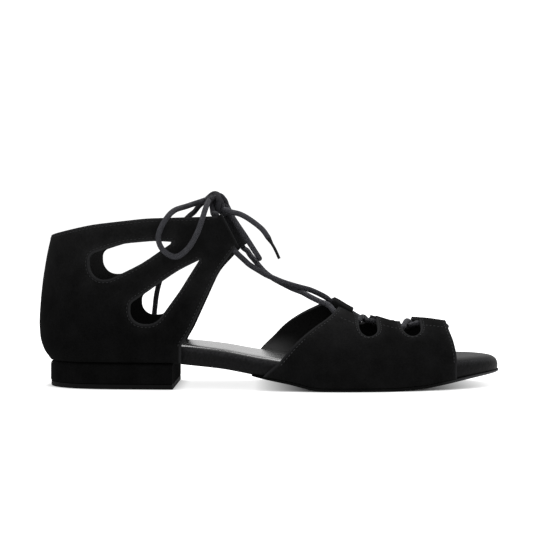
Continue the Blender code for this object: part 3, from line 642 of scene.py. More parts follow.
# %% Lay the quarter out flat
QUARTER_BASE = 14.1
FOOT_OF_TAB = {OUTER: Vector((-16.2, 75.4)), INNER: Vector((-12.4, 77.4))}
HEAD_OF_TAB = {OUTER: Vector((-25.0, 91.7)), INNER: Vector((-20.8, 93.4))}
FRONT_STRAP = {
    OUTER: ((-45.9, QUARTER_BASE, 0), (-45.8, 23.0, 3.0), (-41.1, 30.2, 14.0), (-26.4, 62.0, 30.0)),
    INNER: ((-46.4, QUARTER_BASE, 0), (-46.4, 23.0, 3.0), (-42.3, 30.2, 14.0), (-27.8, 62.0, 30.0)),
}
COLLAR = (
    (-36.0, 90.3, 40.0), (-64.5, 89.3, 90.0), (-92.6, 86.2, 90.0), (-118.0, 81.3, 30.0), (-134.0, 79.3, 0),
)
BACK_FROM = -106.0
ANKLE_MIDDLE = -90.0
INNER_WINDOW_LIFT = 2.7
WINDOWS = (
    (
        (-50.0, 77.1, 0), (-60.0, 77.6, 40.0), (-77.0, 76.1, 40.0), (-94.5, 70.6, 4.5), (-94.5, 57.3, 8.0),
        (-83.5, 57.4, 8.0), (-66.5, 65.6, 60.0),
    ),
    (
        (-36.4, 67.8, 0), (-47.5, 62.3, 60.0), (-72.4, 45.0, 4.0), (-72.5, 34.1, 7.0), (-58.9, 34.2, 9.0),
        (-46.6, 51.3, 60.0),
    ),
)
FOLD_COLUMNS = 14
TAB_SETBACK = 0.5
BAND_FRONT, BAND_HEIGHT, BAND_STEPS = -2.0, 50.0, 300

quarter_turns = [turn_of(BAND_FRONT) * step / BAND_STEPS for step in range(BAND_STEPS + 1)]
quarter_run = {}
for side in (OUTER, INNER):
    ring = [set_out(turn, side, swell(turn, side, BAND_HEIGHT)) for turn in quarter_turns]
    quarter_run[side] = np.cumsum([0.0, *((b - a).length for a, b in zip(ring, ring[1:]))])


def quarter_flat(along, side, height):
    turn = turn_of(along)
    for _ in range(8):
        turn = turn_of(along_of(turn) + along - quarter_point(turn, side, height).x)
    return Vector((side * np.interp(turn, quarter_turns, quarter_run[side]), height))


def quarter_lasted(across, height):
    side = OUTER if across < 0 else INNER
    return quarter_point(float(np.interp(abs(across), quarter_run[side], quarter_turns)), side, height)


def away_from_ankle(point):
    return Vector((min(point.x - ANKLE_MIDDLE, 0.0), point.y, 0.0))


# %% Draw the quarter's outline
CUT_SPACING, BASE_SPACING, BACK_SPACING = 1.0, 1.5, 1.2


def window_loop(corners, lift):
    """A window's closed outline from its tip round by its bowed sides and round end."""
    raised = [(along, height + lift, radius) for along, height, radius in corners]
    return spaced(rounded([*raised, raised[0]]), CUT_SPACING)[:-1]


def tab_columns(side):
    """Places along the tab's front where its fold starts, behind the edge."""
    edge = HEAD_OF_TAB[side] - FOOT_OF_TAB[side]
    back = Vector((-edge.y, edge.x)).normalized() * FOLD_RADIUS * TAB_SETBACK
    return [FOOT_OF_TAB[side] + back + edge * step / FOLD_COLUMNS for step in range(FOLD_COLUMNS + 1)]


def quarter_chain(side):
    """Parts of the outline from the back of the heel round by the front, each in the flat."""
    tab = tab_columns(side)
    strap = spaced(rounded([*FRONT_STRAP[side], (*tab[0], 0)]), CUT_SPACING)
    collar = spaced(rounded([(*tab[-1], 0), *COLLAR]), CUT_SPACING)
    heights = [point.y for point in reversed(collar)]
    alongs = [point.x for point in reversed(collar)]
    front = quarter_flat(strap[0].x, side, QUARTER_BASE).x
    steps = round(abs(front) / BASE_SPACING)
    parts = {"base": [Vector((front * step / steps, QUARTER_BASE)) for step in range(steps)]}
    parts["strap"] = [quarter_flat(point.x, side, point.y) for point in strap[:-1]]
    parts["tab"] = [quarter_flat(point.x, side, point.y) for point in tab]
    parts["collar"] = [quarter_flat(point.x, side, point.y) for point in collar[1:] if point.x > BACK_FROM]
    last = abs(parts["collar"][-1].x)
    steps = round(last / BACK_SPACING)
    for step in range(1, steps + 1):
        across = side * last * (1 - step / steps)
        height = parts["collar"][-1].y
        for _ in range(5):
            height = float(np.interp(quarter_lasted(across, height).x, alongs, heights))
        parts["collar"].append(Vector((across, height)))
    return parts


quarter_parts = {side: quarter_chain(side) for side in (OUTER, INNER)}
chains = {side: sum(parts.values(), []) for side, parts in quarter_parts.items()}
quarter_loop = chains[OUTER] + chains[INNER][1:-1][::-1]
quarter_windows = {
    side: [[quarter_flat(p.x, side, p.y) for p in window_loop(window, lift)] for window in WINDOWS]
    for side, lift in ((OUTER, 0.0), (INNER, INNER_WINDOW_LIFT))
}
print("outline points:", len(quarter_loop))


# %% Last the quarter
def segments(lines):
    starts = [tuple(a) for line in lines for a in line[:-1]]
    ends = [tuple(b) for line in lines for b in line[1:]]
    return np.array(starts), np.array(ends)


def closed(loop):
    return [*loop, loop[0]]


def folded(tab, lasted, away, ahead):
    """The rows of a tab's fold, from its line in the flat and the way that the tab points."""
    edge = [lasted(*place) for place in tab]
    normals = [normal_of(lasted, away, place) for place in tab]
    return fold_rows(edge, normals, fold_frame(edge, normals, Vector(ahead)))


QUARTER_NET = 1.9
ANKLE_TAB_POINTS = (1.0, 0.0, 0.5)
# Painted light on the ankle folds: a row number, and how strongly that row is painted lighter.
ANKLE_FOLD_LIGHT = ((0, 0.0), (2, 0.3), (3, 1.5), (5, 1.4), (7, 1.2), (14, 1.2))
QUARTER_CREASES = (
    Crease((-62, 27), (-34, 24), 4.0, 0.45), Crease((-58, 33), (-44, 32), 3.0, -0.3),
    Crease((-40, 62), (-30, 52), 4.0, 0.35), Crease((-78, 22), (-70, 30), 3.5, 0.35),
    Crease((-30, 40), (-18, 44), 5.0, 0.4), Crease((-24, 66), (-12, 70), 5.0, -0.3),
    Crease((36, 25), (60, 23), 4.0, 0.45), Crease((30, 52), (42, 60), 4.0, 0.35),
    Crease((16, 42), (30, 38), 5.0, 0.4),
)
windows = quarter_windows[OUTER] + quarter_windows[INNER]
quarter_net = net([quarter_loop, *windows], QUARTER_NET)
cut_edges = [parts[name] for parts in quarter_parts.values() for name in ("strap", "collar")]
cut_edges += [closed(loop) for loop in windows]
ankle_tabs = [parts["tab"] for parts in quarter_parts.values()]
quarter_folds = [folded(tab, quarter_lasted, away_from_ankle, ANKLE_TAB_POINTS) for tab in ankle_tabs]
quarter = sew(
    "quarter_suede", quarter_net, creased(quarter_lasted, away_from_ankle, QUARTER_CREASES),
    rim_distance(quarter_net[0], *segments(cut_edges)), quarter_folds, ANKLE_FOLD_LIGHT, away_from_ankle,
)

# %% [markdown]
# ## The vamp
# The vamp covers the forefoot in two halves that meet only through the lace. Each half has a slanting rear
# edge, an open toe, and three tabs with round notches between them. In the flat its width is the
# length along the foot, and its height is the way up round the foot.

# %% Lay a vamp half out flat
FLAT_HEIGHT = 58.0
Tab = namedtuple("Tab", "rear front")
VAMP_TABS = (Tab(36.6, 47.0), Tab(57.0, 70.0), Tab(80.0, 94.0))
NOTCH_BOTTOM = {OUTER: (28.3, 28.3), INNER: (32.6, 29.6)}
NOTCH_RADIUS, NOTCH_SPACING = 4.8, 0.8
FOREFOOT_MIDDLE = 12.0


def vamp_lasted(side):
    return lambda along, up: vamp_point(along, side, up / FLAT_HEIGHT)


def away_from_forefoot(point):
    return Vector((0.0, point.y, point.z - FOREFOOT_MIDDLE))


def fold_rise(side, along):
    """How far up the vamp the fold of a tab starts, a little below the throat."""
    near = 0.02
    run = (vamp_point(along, side, 1.0) - vamp_point(along, side, 1.0 - near)).length / near
    return 1.0 - FOLD_RADIUS * TAB_SETBACK / run


def rise_at(along, side, height):
    _, last_angle = throat_angle(along, side)
    share = (height - bed_top(along)) / (ridge(along) - bed_top(along))
    return SKIRT_SHARE + (1 - SKIRT_SHARE) * math.asin(min(share, 1.0)) / last_angle


def vamp_edge(side, share):
    """Flat points of the rear (0) or front (1) edge, from the sole up to where the tab's fold starts."""
    steps = 46
    top = 1.0
    for _ in range(6):
        top = fold_rise(side, vamp_grid_point(side, share, top).x)
    rises = [top * step / steps for step in range(steps + 1)]
    return [Vector((vamp_grid_point(side, share, rise).x, rise * FLAT_HEIGHT)) for rise in rises]


def fold_line(side, start, end):
    alongs = [blend(start, end, step / FOLD_COLUMNS) for step in range(FOLD_COLUMNS + 1)]
    return [Vector((along, fold_rise(side, along) * FLAT_HEIGHT)) for along in alongs]


def notch(side, front, rear, bottom):
    """A notch between two tabs, from the front tab down round and up to the rear tab."""
    tops = [vamp_point(along, side, fold_rise(side, along)).z for along in (front, rear)]
    low_corners = ((front, bottom, NOTCH_RADIUS), (rear, bottom, NOTCH_RADIUS))
    line = spaced(rounded([(front, tops[0], 0), *low_corners, (rear, tops[1], 0)]), NOTCH_SPACING)
    return [Vector((point.x, rise_at(point.x, side, point.y) * FLAT_HEIGHT)) for point in line]


def vamp_parts(side):
    front, rear = vamp_edge(side, 1.0), vamp_edge(side, 0.0)
    steps = round((front[0].x - rear[0].x) / BASE_SPACING)
    base = [Vector((blend(rear[0].x, front[0].x, step / steps), 0.0)) for step in range(steps)]
    first, second, third = VAMP_TABS
    tabs = [
        fold_line(side, front[-1].x, third.rear),
        fold_line(side, second.front, second.rear),
        fold_line(side, first.front, rear[-1].x),
    ]
    rear_bottom, front_bottom = NOTCH_BOTTOM[side]
    notches = [
        notch(side, third.rear, second.front, front_bottom),
        notch(side, second.rear, first.front, rear_bottom),
    ]
    return {"base": base, "front": front, "rear": rear, "tabs": tabs, "notches": notches}


# %% Last the vamp halves
VAMP_NET = 1.7
VAMP_TAB_RISE = 0.6
VAMP_CREASES = (
    Crease((44, 37), (30, 26), 3.5, 0.45), Crease((50, 34), (46, 22), 3.0, 0.4),
    Crease((64, 32), (66, 18), 4.0, 0.35), Crease((74, 36), (82, 26), 3.5, 0.35),
    Crease((28, 34), (20, 26), 3.0, -0.3), Crease((56, 28), (57, 16), 3.0, -0.25),
)
# Painted light on the vamp folds: a row number, and how strongly that row is painted lighter.
VAMP_FOLD_LIGHT = ((0, 0.0), (2, 0.0), (3, 1.0), (4, 1.0), (5, 0.0), (14, 0.0))
vamp_pieces = {}
vamp_lines = {side: vamp_parts(side) for side in (OUTER, INNER)}
for side, parts in vamp_lines.items():
    tabs, notches = parts["tabs"], parts["notches"]
    loop = parts["base"] + parts["front"][:-1] + tabs[0][:-1] + notches[0][:-1] + tabs[1][:-1]
    loop += notches[1][:-1] + tabs[2][:-1] + parts["rear"][1:][::-1]
    lasted = vamp_lasted(side)
    flat = net([loop], VAMP_NET)
    vamp_pieces[side] = sew(
        "vamp_suede_" + SIDE_WORDS[side], flat, creased(lasted, away_from_forefoot, VAMP_CREASES),
        rim_distance(flat[0], *segments([parts["front"], parts["rear"], *notches])),
        [folded(tab, lasted, away_from_forefoot, (0.0, -side, VAMP_TAB_RISE)) for tab in tabs],
        VAMP_FOLD_LIGHT, away_from_forefoot,
    )

# %% [markdown]
# ## The sole pieces
# Each sole piece is a slab with the plan of the foot. It starts as a flat grid that is pulled to the plan,
# and is then extruded upward in a few small steps. Each step sets the edge in or out a little, so that
# the rims come out round. Every corner remembers its station along the foot and its share across.

# %% Build a slab from a grid
HEEL_SEAT_END, HEEL_SEAT_FADE = -52.0, 14.0
TOE_ROUND_FROM, TOE_ROUND_TO = 88.0, 112.0
HEEL_OUT_AT_SIDE, HEEL_OUT_AT_BACK = 1.9, 3.6


def heel_seat(turn, side, share):
    """How far the platform widens round the heel, to lie just inside the quarter."""
    fade = min(max((HEEL_SEAT_END - along_of(turn)) / HEEL_SEAT_FADE, 0.0), 1.0)
    return fade * (swell(turn, side, blend(QUARTER_BASE, bed_top(HEEL_END), share)) - WALL - 2 * GAP)


def insole_edge(turn, side, share):
    return heel_seat(turn, side, 1.0)


def tread(turn, side, share):
    return tread_margin(along_of(turn))


def toe_share(along):
    """0 up to the ball of the foot and 1 at the toe, where the sole's top edge is rounder."""
    share = min(max((along - TOE_ROUND_FROM) / (TOE_ROUND_TO - TOE_ROUND_FROM), 0.0), 1.0)
    return share * share * (3 - 2 * share)


def heel_edge(turn, side, share):
    """How far the heel stands out from the edge of the sole, most at the back."""
    return blend(HEEL_OUT_AT_SIDE, HEEL_OUT_AT_BACK, max(-plan_normal(turn, side).x, 0.0) ** 2)


def place_layer(piece, first, last, edge, low, high, layer):
    """Moves the selected corners of the grid to one layer of the slab."""
    share, waist_inset, toe_inset = layer
    bm = bmesh.from_edit_mesh(piece.data)
    station, across, rise = (bm.verts.layers.float[word] for word in ("station", "across", "rise"))
    for vert in bm.verts:
        if not vert.select:
            continue
        turn = blend(turn_of(first), turn_of(last), vert[station])
        inset = blend(waist_inset, toe_inset, toe_share(along_of(turn)))
        ends = [set_out(turn, side, edge(turn, side, share) - inset) for side in (OUTER, INNER)]
        point = ends[0].lerp(ends[1], vert[across])
        vert.co = to_world(Vector((point.x, point.y, blend(low(point.x), high(point.x), share))))
        vert[rise] = share
    bmesh.update_edit_mesh(piece.data)


def slab(name, first, last, stations, edge, low, high, layers):
    """A slab between two stations of the foot, with its edge, foot and top given as functions."""
    bpy.ops.mesh.primitive_grid_add(x_subdivisions=stations, y_subdivisions=10, size=2)
    piece = bpy.context.object
    piece.name = name
    for word, axis in (("station", 0), ("across", 1)):
        values = piece.data.attributes.new(word, "FLOAT", "POINT").data
        for value, vert in zip(values, piece.data.vertices):
            value.value = (vert.co[axis] + 1) / 2
    piece.data.attributes.new("rise", "FLOAT", "POINT")
    bpy.ops.object.mode_set(mode="EDIT")
    bpy.ops.mesh.select_all(action="SELECT")
    place_layer(piece, first, last, edge, low, high, layers[0])
    for layer in layers[1:]:
        bpy.ops.mesh.extrude_region_move()
        place_layer(piece, first, last, edge, low, high, layer)
    bpy.ops.mesh.select_all(action="SELECT")
    bpy.ops.mesh.remove_doubles(threshold=0.00001)
    bpy.ops.mesh.normals_make_consistent(inside=False)
    bpy.ops.object.mode_set(mode="OBJECT")
    bpy.ops.object.shade_smooth_by_angle(angle=math.radians(38))
    print(name, len(piece.data.polygons), "faces")
    return piece


# %% Heights of the sole pieces
INSOLE_LIFT, INSOLE_THICK = 0.02, 1.2
TOP_LIFT_THICK = 2.5
FULL_STATIONS, TREAD_STATIONS, HEEL_STATIONS = 110, 80, 50


def level(height):
    return lambda along: height


def insole_foot(along):
    return bed_top(along) + INSOLE_LIFT


def insole_top(along):
    return bed_top(along) + GAP + INSOLE_THICK


def tread_top(along):
    return under(along) - GAP


def tread_foot(along):
    return under(along) - GAP - tread_thick(along)


# %% Layers of the sole pieces, from foot to top
Layer = namedtuple("Layer", "share inset toe_inset")
PLATFORM_LAYERS = (
    Layer(0, 0.9, 0.5), Layer(0.05, 0.35, 0.2), Layer(0.14, 0, 0), Layer(0.42, -0.05, 0),
    Layer(0.58, 0, 0.15), Layer(0.7, 0.05, 0.35), Layer(0.82, 0.2, 0.65), Layer(0.92, 0.5, 1.05),
    Layer(1, 1.0, 1.6),
)
INSOLE_LAYERS = (
    Layer(0, 1.0, 1.6), Layer(0.25, 1.25, 2.1), Layer(0.5, 1.65, 2.8), Layer(0.72, 2.3, 3.7),
    Layer(0.88, 3.4, 5.2), Layer(1, 5.8, 8.0),
)
OUTSOLE_LAYERS = (
    Layer(0, 0.5, 0.3), Layer(0.08, 0.15, 0.1), Layer(0.2, 0, 0), Layer(0.9, 0, 0), Layer(1, 0.15, 0.1),
)
HEEL_LAYERS = (
    Layer(0, 0.4, 0.4), Layer(0.03, 0.1, 0.1), Layer(0.08, 0, 0), Layer(0.82, 0, 0),
    Layer(0.9, 0.2, 0.2), Layer(0.96, 0.6, 0.6), Layer(1, 1.3, 1.3),
)
TOP_LAYERS = (
    Layer(0, 0.9, 0.9), Layer(0.08, 0.5, 0.5), Layer(0.24, 0.3, 0.3), Layer(0.9, 0.3, 0.3),
    Layer(1, 0.4, 0.4),
)

# %% Make the sole pieces
heel_foot = level(TOP_LIFT_THICK + GAP)
full = (HEEL_END, TOE_END, FULL_STATIONS)
front_part = (OUTSOLE_REAR, TOE_END, TREAD_STATIONS)
heel_part = (HEEL_END, HEEL_BREAST, HEEL_STATIONS)
platform = slab("platform_wrap", *full, heel_seat, under, bed_top, PLATFORM_LAYERS)
insole = slab("insole_leather", *full, insole_edge, insole_foot, insole_top, INSOLE_LAYERS)
outsole = slab("outsole_suede", *front_part, tread, tread_foot, tread_top, OUTSOLE_LAYERS)
heel_block = slab("heel_cover", *heel_part, heel_edge, heel_foot, tread_top, HEEL_LAYERS)
heel_top = slab("heel_top_lift", *heel_part, heel_edge, level(0.0), level(TOP_LIFT_THICK), TOP_LAYERS)

# %% [markdown]
# ## Stitches
# Rows of stitches run about 2 mm inside every cut edge and along each tunnel. They could be painted on, but
# small raised stitches also show from the side. One small stretched ball is the pattern for a stitch. It is
# repeated along a line drawn in the flat and carried to the last.

# %% Make rows of stitches
STITCH_PITCH = 2.1
STITCH_SIZE = Vector((0.72, 0.19, 0.16))
STITCH_PROUD = 0.08
FLAT_STEP = 0.5
bpy.ops.mesh.primitive_uv_sphere_add(segments=6, ring_count=4, radius=1.0)
pattern = bpy.context.object
pattern_points = [vert.co.copy() for vert in pattern.data.vertices]
pattern_faces = [tuple(face.vertices) for face in pattern.data.polygons]
bpy.data.objects.remove(pattern)


def inset(line, distance, towards):
    """A flat line moved to its left where towards is 1, and to its right where it is -1."""
    moved = []
    for place, point in enumerate(line):
        run = (line[min(place + 1, len(line) - 1)] - line[max(place - 1, 0)]).normalized()
        moved.append(point + Vector((-run.y, run.x)) * distance * towards)
    return moved


def stitch_row(flat_line, lasted, away):
    """Places and directions of the stitches along a flat line: point, way along, way out."""
    fine = spaced(flat_line, FLAT_STEP)
    line = spaced([lasted(*place) for place in fine], STITCH_PITCH)
    flats = spaced(fine, length_of(fine) / max(len(line) - 1, 1))
    row = []
    for place in range(len(line) - 1):
        middle = flats[place].lerp(flats[place + 1], 0.5)
        run = (line[place + 1] - line[place]).normalized()
        row.append((lasted(*middle), run, normal_of(lasted, away, middle)))
    return row


def stitches(name, rows):
    points, faces = [], []
    for row in rows:
        for point, run, out in row:
            side_way = out.cross(run).normalized()
            first = len(points)
            for corner in pattern_points:
                size = [corner[axis] * STITCH_SIZE[axis] for axis in range(3)]
                lift = out * (STITCH_PROUD + size[2])
                points.append(to_world(point + lift + run * size[0] + side_way * size[1]))
            faces += [tuple(first + place for place in face) for face in pattern_faces]
    mesh = bpy.data.meshes.new(name)
    mesh.from_pydata(points, [], faces)
    mesh.shade_smooth()
    made = bpy.data.objects.new(name, mesh)
    bpy.context.collection.objects.link(made)
    print(name, len(faces), "faces")
    return made


# %% Stitch the quarter and the vamp
EDGE_ROW = 1.7
TUNNEL_ROW, CASING_ROW = 11.0, 7.0  # from the start of a fold on the vamp and at the ankle
BARE_POINTS = {"strap": 8, "collar": 4, "front": 7, "rear": 7}  # at the start of an edge, with no stitches
rows = []
casings = []
for side in (OUTER, INNER):
    parts = quarter_parts[side]
    for word in ("strap", "collar"):
        line = inset(parts[word][BARE_POINTS[word]:], EDGE_ROW, side)
        rows.append(stitch_row(line, quarter_lasted, away_from_ankle))
    for loop in quarter_windows[side]:
        rows.append(stitch_row(inset(closed(loop), EDGE_ROW, -side), quarter_lasted, away_from_ankle))
    casing = [place - Vector((side * CASING_ROW, 0)) for place in parts["tab"][1:]]
    casings.append(stitch_row(casing, quarter_lasted, away_from_ankle))
quarter_stitches = stitches("quarter_stitches", rows)
casing_stitches = stitches("casing_stitches", casings)
vamp_stitches = {}
for side, parts in vamp_lines.items():
    lasted = vamp_lasted(side)
    lines = []
    for word, towards in (("front", 1), ("rear", -1)):
        lines.append(inset(parts[word][BARE_POINTS[word]:], EDGE_ROW, towards))
    lines += [inset(line, EDGE_ROW, 1) for line in parts["notches"]]
    lines += [[place - Vector((0, TUNNEL_ROW)) for place in tab] for tab in parts["tabs"]]
    rows = [stitch_row(line, lasted, away_from_forefoot) for line in lines]
    vamp_stitches[side] = stitches("vamp_stitches_" + SIDE_WORDS[side], rows)

# %% [markdown]
# ## The lace through its tunnels
# The lace goes across the toe end, then crosses between each pair of tabs, over the instep to the tabs of
# the quarter, and up to the knot. Each strand starts and ends hidden inside a tunnel, and leaves it in line
# with the tunnel, so that it hardly presses into the mouth.

# %% Ways through the tunnels
TUNNEL_AXIS = 3.35  # depth of the lace's middle line below the outer face
OUT_AT_FRONT = (0.5, 0.92, 1.08)  # shares of a tunnel's length: its middle, then before and past its mouth
OUT_AT_REAR = (0.5, 0.08, -0.08)


def in_tunnel(lasted, away, place):
    """The lace's middle line under a place on the folded edge in the flat."""
    return to_world(lasted(*place) - normal_of(lasted, away, place) * TUNNEL_AXIS)


def vamp_way(side, number, shares):
    """Points of a strand at shares of a vamp tunnel's length, from its rear mouth."""
    tab = VAMP_TABS[number]
    alongs = [blend(tab.rear, tab.front, share) for share in shares]
    places = [(along, fold_rise(side, along) * FLAT_HEIGHT) for along in alongs]
    return [in_tunnel(vamp_lasted(side), away_from_forefoot, place) for place in places]


def ankle_way(side, shares):
    """Points of a strand at shares of an ankle tunnel's length, from its foot."""
    columns = quarter_parts[side]["tab"]
    places = [columns[0].lerp(columns[-1], share) for share in shares]
    return [in_tunnel(quarter_lasted, away_from_ankle, place) for place in places]


# %% Draw the strands
TOE_BAR_LIFT, OVER_LIFT, UNDER_LIFT = 0.0006, 0.0021, -0.0009
INSTEP_UNDER_ROUTE = (
    (-0.0120, 0.0108, 0.0729), (-0.0103, 0.0092, 0.0704), (-0.0074, 0.0066, 0.0670),
    (-0.0044, 0.0040, 0.0634), (-0.0016, 0.0018, 0.0606), (0.0033, 0.0010, 0.0571),
    (0.0100, 0.0020, 0.0535), (0.0141, 0.0020, 0.0516), (0.0181, 0.0002, 0.0501),
    (0.0227, -0.0032, 0.0476), (0.0273, -0.0074, 0.0454), (0.0316, -0.0110, 0.0437),
)
INSTEP_OVER_ROUTE = (
    (-0.0132, -0.0102, 0.0676), (-0.0103, -0.0082, 0.0650), (-0.0055, -0.0054, 0.0620),
    (-0.0014, -0.0038, 0.0596), (0.0036, -0.0026, 0.0574), (0.0081, -0.0020, 0.0556),
    (0.0128, -0.0012, 0.0541), (0.0176, 0.0004, 0.0528), (0.0226, 0.0038, 0.0514),
    (0.0276, 0.0080, 0.0492), (0.0320, 0.0112, 0.0468),
)


def short_strand(start, end, lift):
    """A strand between two tunnels, each given by its points from the inside to past its mouth."""
    middle = (start[-1] + end[-1]) / 2 + Vector((0, 0, lift))
    return [*start, middle, *reversed(end)]


toe_ends = [vamp_way(side, 2, OUT_AT_FRONT) for side in (OUTER, INNER)]
strands = {"lace_toe_bar": [short_strand(*toe_ends, TOE_BAR_LIFT)]}
for name, rear, front in (("lace_cross_front", 1, 2), ("lace_cross_middle", 0, 1)):
    leave = {side: vamp_way(side, rear, OUT_AT_FRONT) for side in (OUTER, INNER)}
    arrive = {side: vamp_way(side, front, OUT_AT_REAR) for side in (OUTER, INNER)}
    strands[name] = [
        short_strand(leave[OUTER], arrive[INNER], OVER_LIFT),
        short_strand(leave[INNER], arrive[OUTER], UNDER_LIFT),
    ]
foot = {side: ankle_way(side, OUT_AT_REAR) for side in (OUTER, INNER)}
rear_tab = {side: vamp_way(side, 0, OUT_AT_REAR[::-1]) for side in (OUTER, INNER)}
strands["lace_cross_instep"] = [
    [*foot[INNER], *map(Vector, INSTEP_UNDER_ROUTE), *rear_tab[OUTER]],
    [*foot[OUTER], *map(Vector, INSTEP_OVER_ROUTE), *rear_tab[INNER]],
]
lace_strands = {name: cord(name + "_braid", routes, LACE_RADIUS) for name, routes in strands.items()}
print("strands:", *lace_strands)

# %% [markdown]
# ## The knot
# The strand from the inner ankle tunnel goes on through the knot into the end behind the collar, and the
# outer one into the front loop. The front loop goes on into the outer loop, and that into the front end. One
# short turn wraps them all. A lump would be simpler, but single strands give the knot the photograph's
# outline.

# %% Tie the knot
KNOT_WAYS = {
    INNER: (
        (-0.0244, 0.0114, 0.0932), (-0.0262, 0.0080, 0.0941), (-0.0275, 0.0054, 0.0957),
        (-0.0276, 0.0036, 0.0980), (-0.0270, 0.0030, 0.1004), (-0.0276, 0.0029, 0.1030),
        (-0.0293, 0.0029, 0.1041), (-0.0313, 0.0034, 0.1035), FREE_ROUTES["end_inner"][0],
    ),
    OUTER: (
        (-0.0300, -0.0082, 0.0926), (-0.0306, -0.0046, 0.0952), (-0.0309, -0.0022, 0.0978),
        (-0.0300, -0.0002, 0.0996), (-0.0276, 0.0018, 0.0992), (-0.0250, 0.0034, 0.0979),
        FREE_ROUTES["loop_front"][0],
    ),
}
LOOP_WAYS = (
    (
        FREE_ROUTES["loop_outer"][-1], (-0.0306, -0.0040, 0.1012), (-0.0286, -0.0028, 0.1016),
        (-0.0266, -0.0022, 0.1002), (-0.0256, -0.0020, 0.0978), FREE_ROUTES["end_front"][0],
    ),
    (
        FREE_ROUTES["loop_outer"][0], (-0.0318, -0.0004, 0.1016), (-0.0294, -0.0004, 0.1028),
        (-0.0266, 0.0014, 0.1029), (-0.0248, 0.0040, 0.1012), (-0.0238, 0.0062, 0.0996),
        FREE_ROUTES["loop_front"][-1],
    ),
)
WRAP_WAY = (
    (-0.0290, 0.0044, 0.1000), (-0.0286, 0.0020, 0.1030), (-0.0280, -0.0012, 0.1034),
    (-0.0274, -0.0040, 0.1010), (-0.0274, -0.0048, 0.0980), (-0.0280, -0.0034, 0.0952),
    (-0.0288, -0.0002, 0.0940), (-0.0290, 0.0032, 0.0954), (-0.0290, 0.0046, 0.0984),
)
risers = [[*ankle_way(side, OUT_AT_FRONT), *KNOT_WAYS[side]] for side in (OUTER, INNER)]
knot_ways = [*risers, *LOOP_WAYS, WRAP_WAY]
knot = cord("lace_knot_tied", knot_ways, LACE_RADIUS)
print("ways through the knot:", len(knot_ways))

# %% [markdown]
# ## Surfaces
# Suede is leather with a raised nap: it is matt, and it catches a little light in patches where the nap
# lies another way. A plain black would hide that, so nap, painted light and cut edges are node groups with
# named sockets. The painted light makes the suede lighter towards its top and front, with spots painted
# lighter or darker. The suedes share the first two, and the cut edges are put on the upper's.

# %% Helpers for nodes
def group(name, inputs, outputs):
    made = bpy.data.node_groups.new(name, "ShaderNodeTree")
    for socket, kind, value in inputs:
        made.interface.new_socket(name=socket, in_out="INPUT", socket_type=kind).default_value = value
    for socket, kind in outputs:
        made.interface.new_socket(name=socket, in_out="OUTPUT", socket_type=kind)
    return made, add(made, "NodeGroupInput"), add(made, "NodeGroupOutput")


def socket_of(node, word):
    """An input by its name, with _ for a space, or by its number, as in i0."""
    if word[0] == "i" and word[1:].isdigit():
        return node.inputs[int(word[1:])]
    return node.inputs[word.replace("_", " ")]


def add(tree, kind, settings=None, **inputs):
    """A node with its settings and input values, where an input given as a socket is linked."""
    made = tree.nodes.new(kind)
    for word, value in (settings or {}).items():
        setattr(made, word, value)
    for word, value in inputs.items():
        socket = socket_of(made, word)
        if isinstance(value, bpy.types.NodeSocket):
            tree.links.new(value, socket)
        else:
            socket.default_value = value
    return made


def math_node(tree, operation, *values):
    inputs = {f"i{place}": value for place, value in enumerate(values)}
    return add(tree, "ShaderNodeMath", {"operation": operation}, **inputs).outputs[0]


def scaled(tree, colour, value):
    return add(tree, "ShaderNodeVectorMath", {"operation": "SCALE"}, i0=colour, i3=value).outputs[0]


def mixed(tree, share, first, second):
    """A blend of two colours, by the share of the second."""
    return add(tree, "ShaderNodeMix", {"data_type": "RGBA"}, i0=share, i6=first, i7=second).outputs[2]


def attribute(tree, name):
    return add(tree, "ShaderNodeAttribute", {"attribute_name": name}).outputs["Fac"]


def axis_place(tree, axis, coords):
    return add(tree, "ShaderNodeSeparateXYZ", Vector=coords).outputs[axis]


def noise(tree, coords, scale, detail=4.0, roughness=0.55):
    made = add(tree, "ShaderNodeTexNoise", Vector=coords, Scale=scale, Detail=detail, Roughness=roughness)
    return made.outputs["Fac"]


def ramp(tree, value, low, high, out_low=0.0, out_high=1.0):
    """Eases from out_low to out_high while the value goes from low to high."""
    made = add(tree, "ShaderNodeMapRange", {"interpolation_type": "SMOOTHSTEP"}, Value=value)
    for place, number in zip((1, 2, 3, 4), (low, high, out_low, out_high)):
        made.inputs[place].default_value = number
    return made.outputs[0]


FLOAT, COLOUR, VECTOR = "NodeSocketFloat", "NodeSocketColor", "NodeSocketVector"

# %% Suede nap
nap, nap_in, nap_out = group(
    "suede_nap",
    [
        ("Vector", VECTOR, (0, 0, 0)), ("Dark", COLOUR, (0.0020, 0.0020, 0.0020, 1)),
        ("Light", COLOUR, (0.0060, 0.0060, 0.0061, 1)),
    ],
    [("Color", COLOUR), ("Height", FLOAT)],
)
PATCH_SHARE, FIBRE_SHARE = 0.45, 0.55
patches = noise(nap, nap_in.outputs["Vector"], 95.0, detail=5.0, roughness=0.6)
fibres = noise(nap, nap_in.outputs["Vector"], 1500.0, detail=3.0, roughness=0.7)
patches = math_node(nap, "MULTIPLY", patches, PATCH_SHARE)
fibres = math_node(nap, "MULTIPLY", fibres, FIBRE_SHARE)
tone = math_node(nap, "ADD", patches, fibres)
nap_colour = mixed(nap, ramp(nap, tone, 0.25, 0.8), nap_in.outputs["Dark"], nap_in.outputs["Light"])
nap.links.new(nap_colour, nap_out.inputs["Color"])
nap.links.new(tone, nap_out.inputs["Height"])
print("nap nodes:", len(nap.nodes))
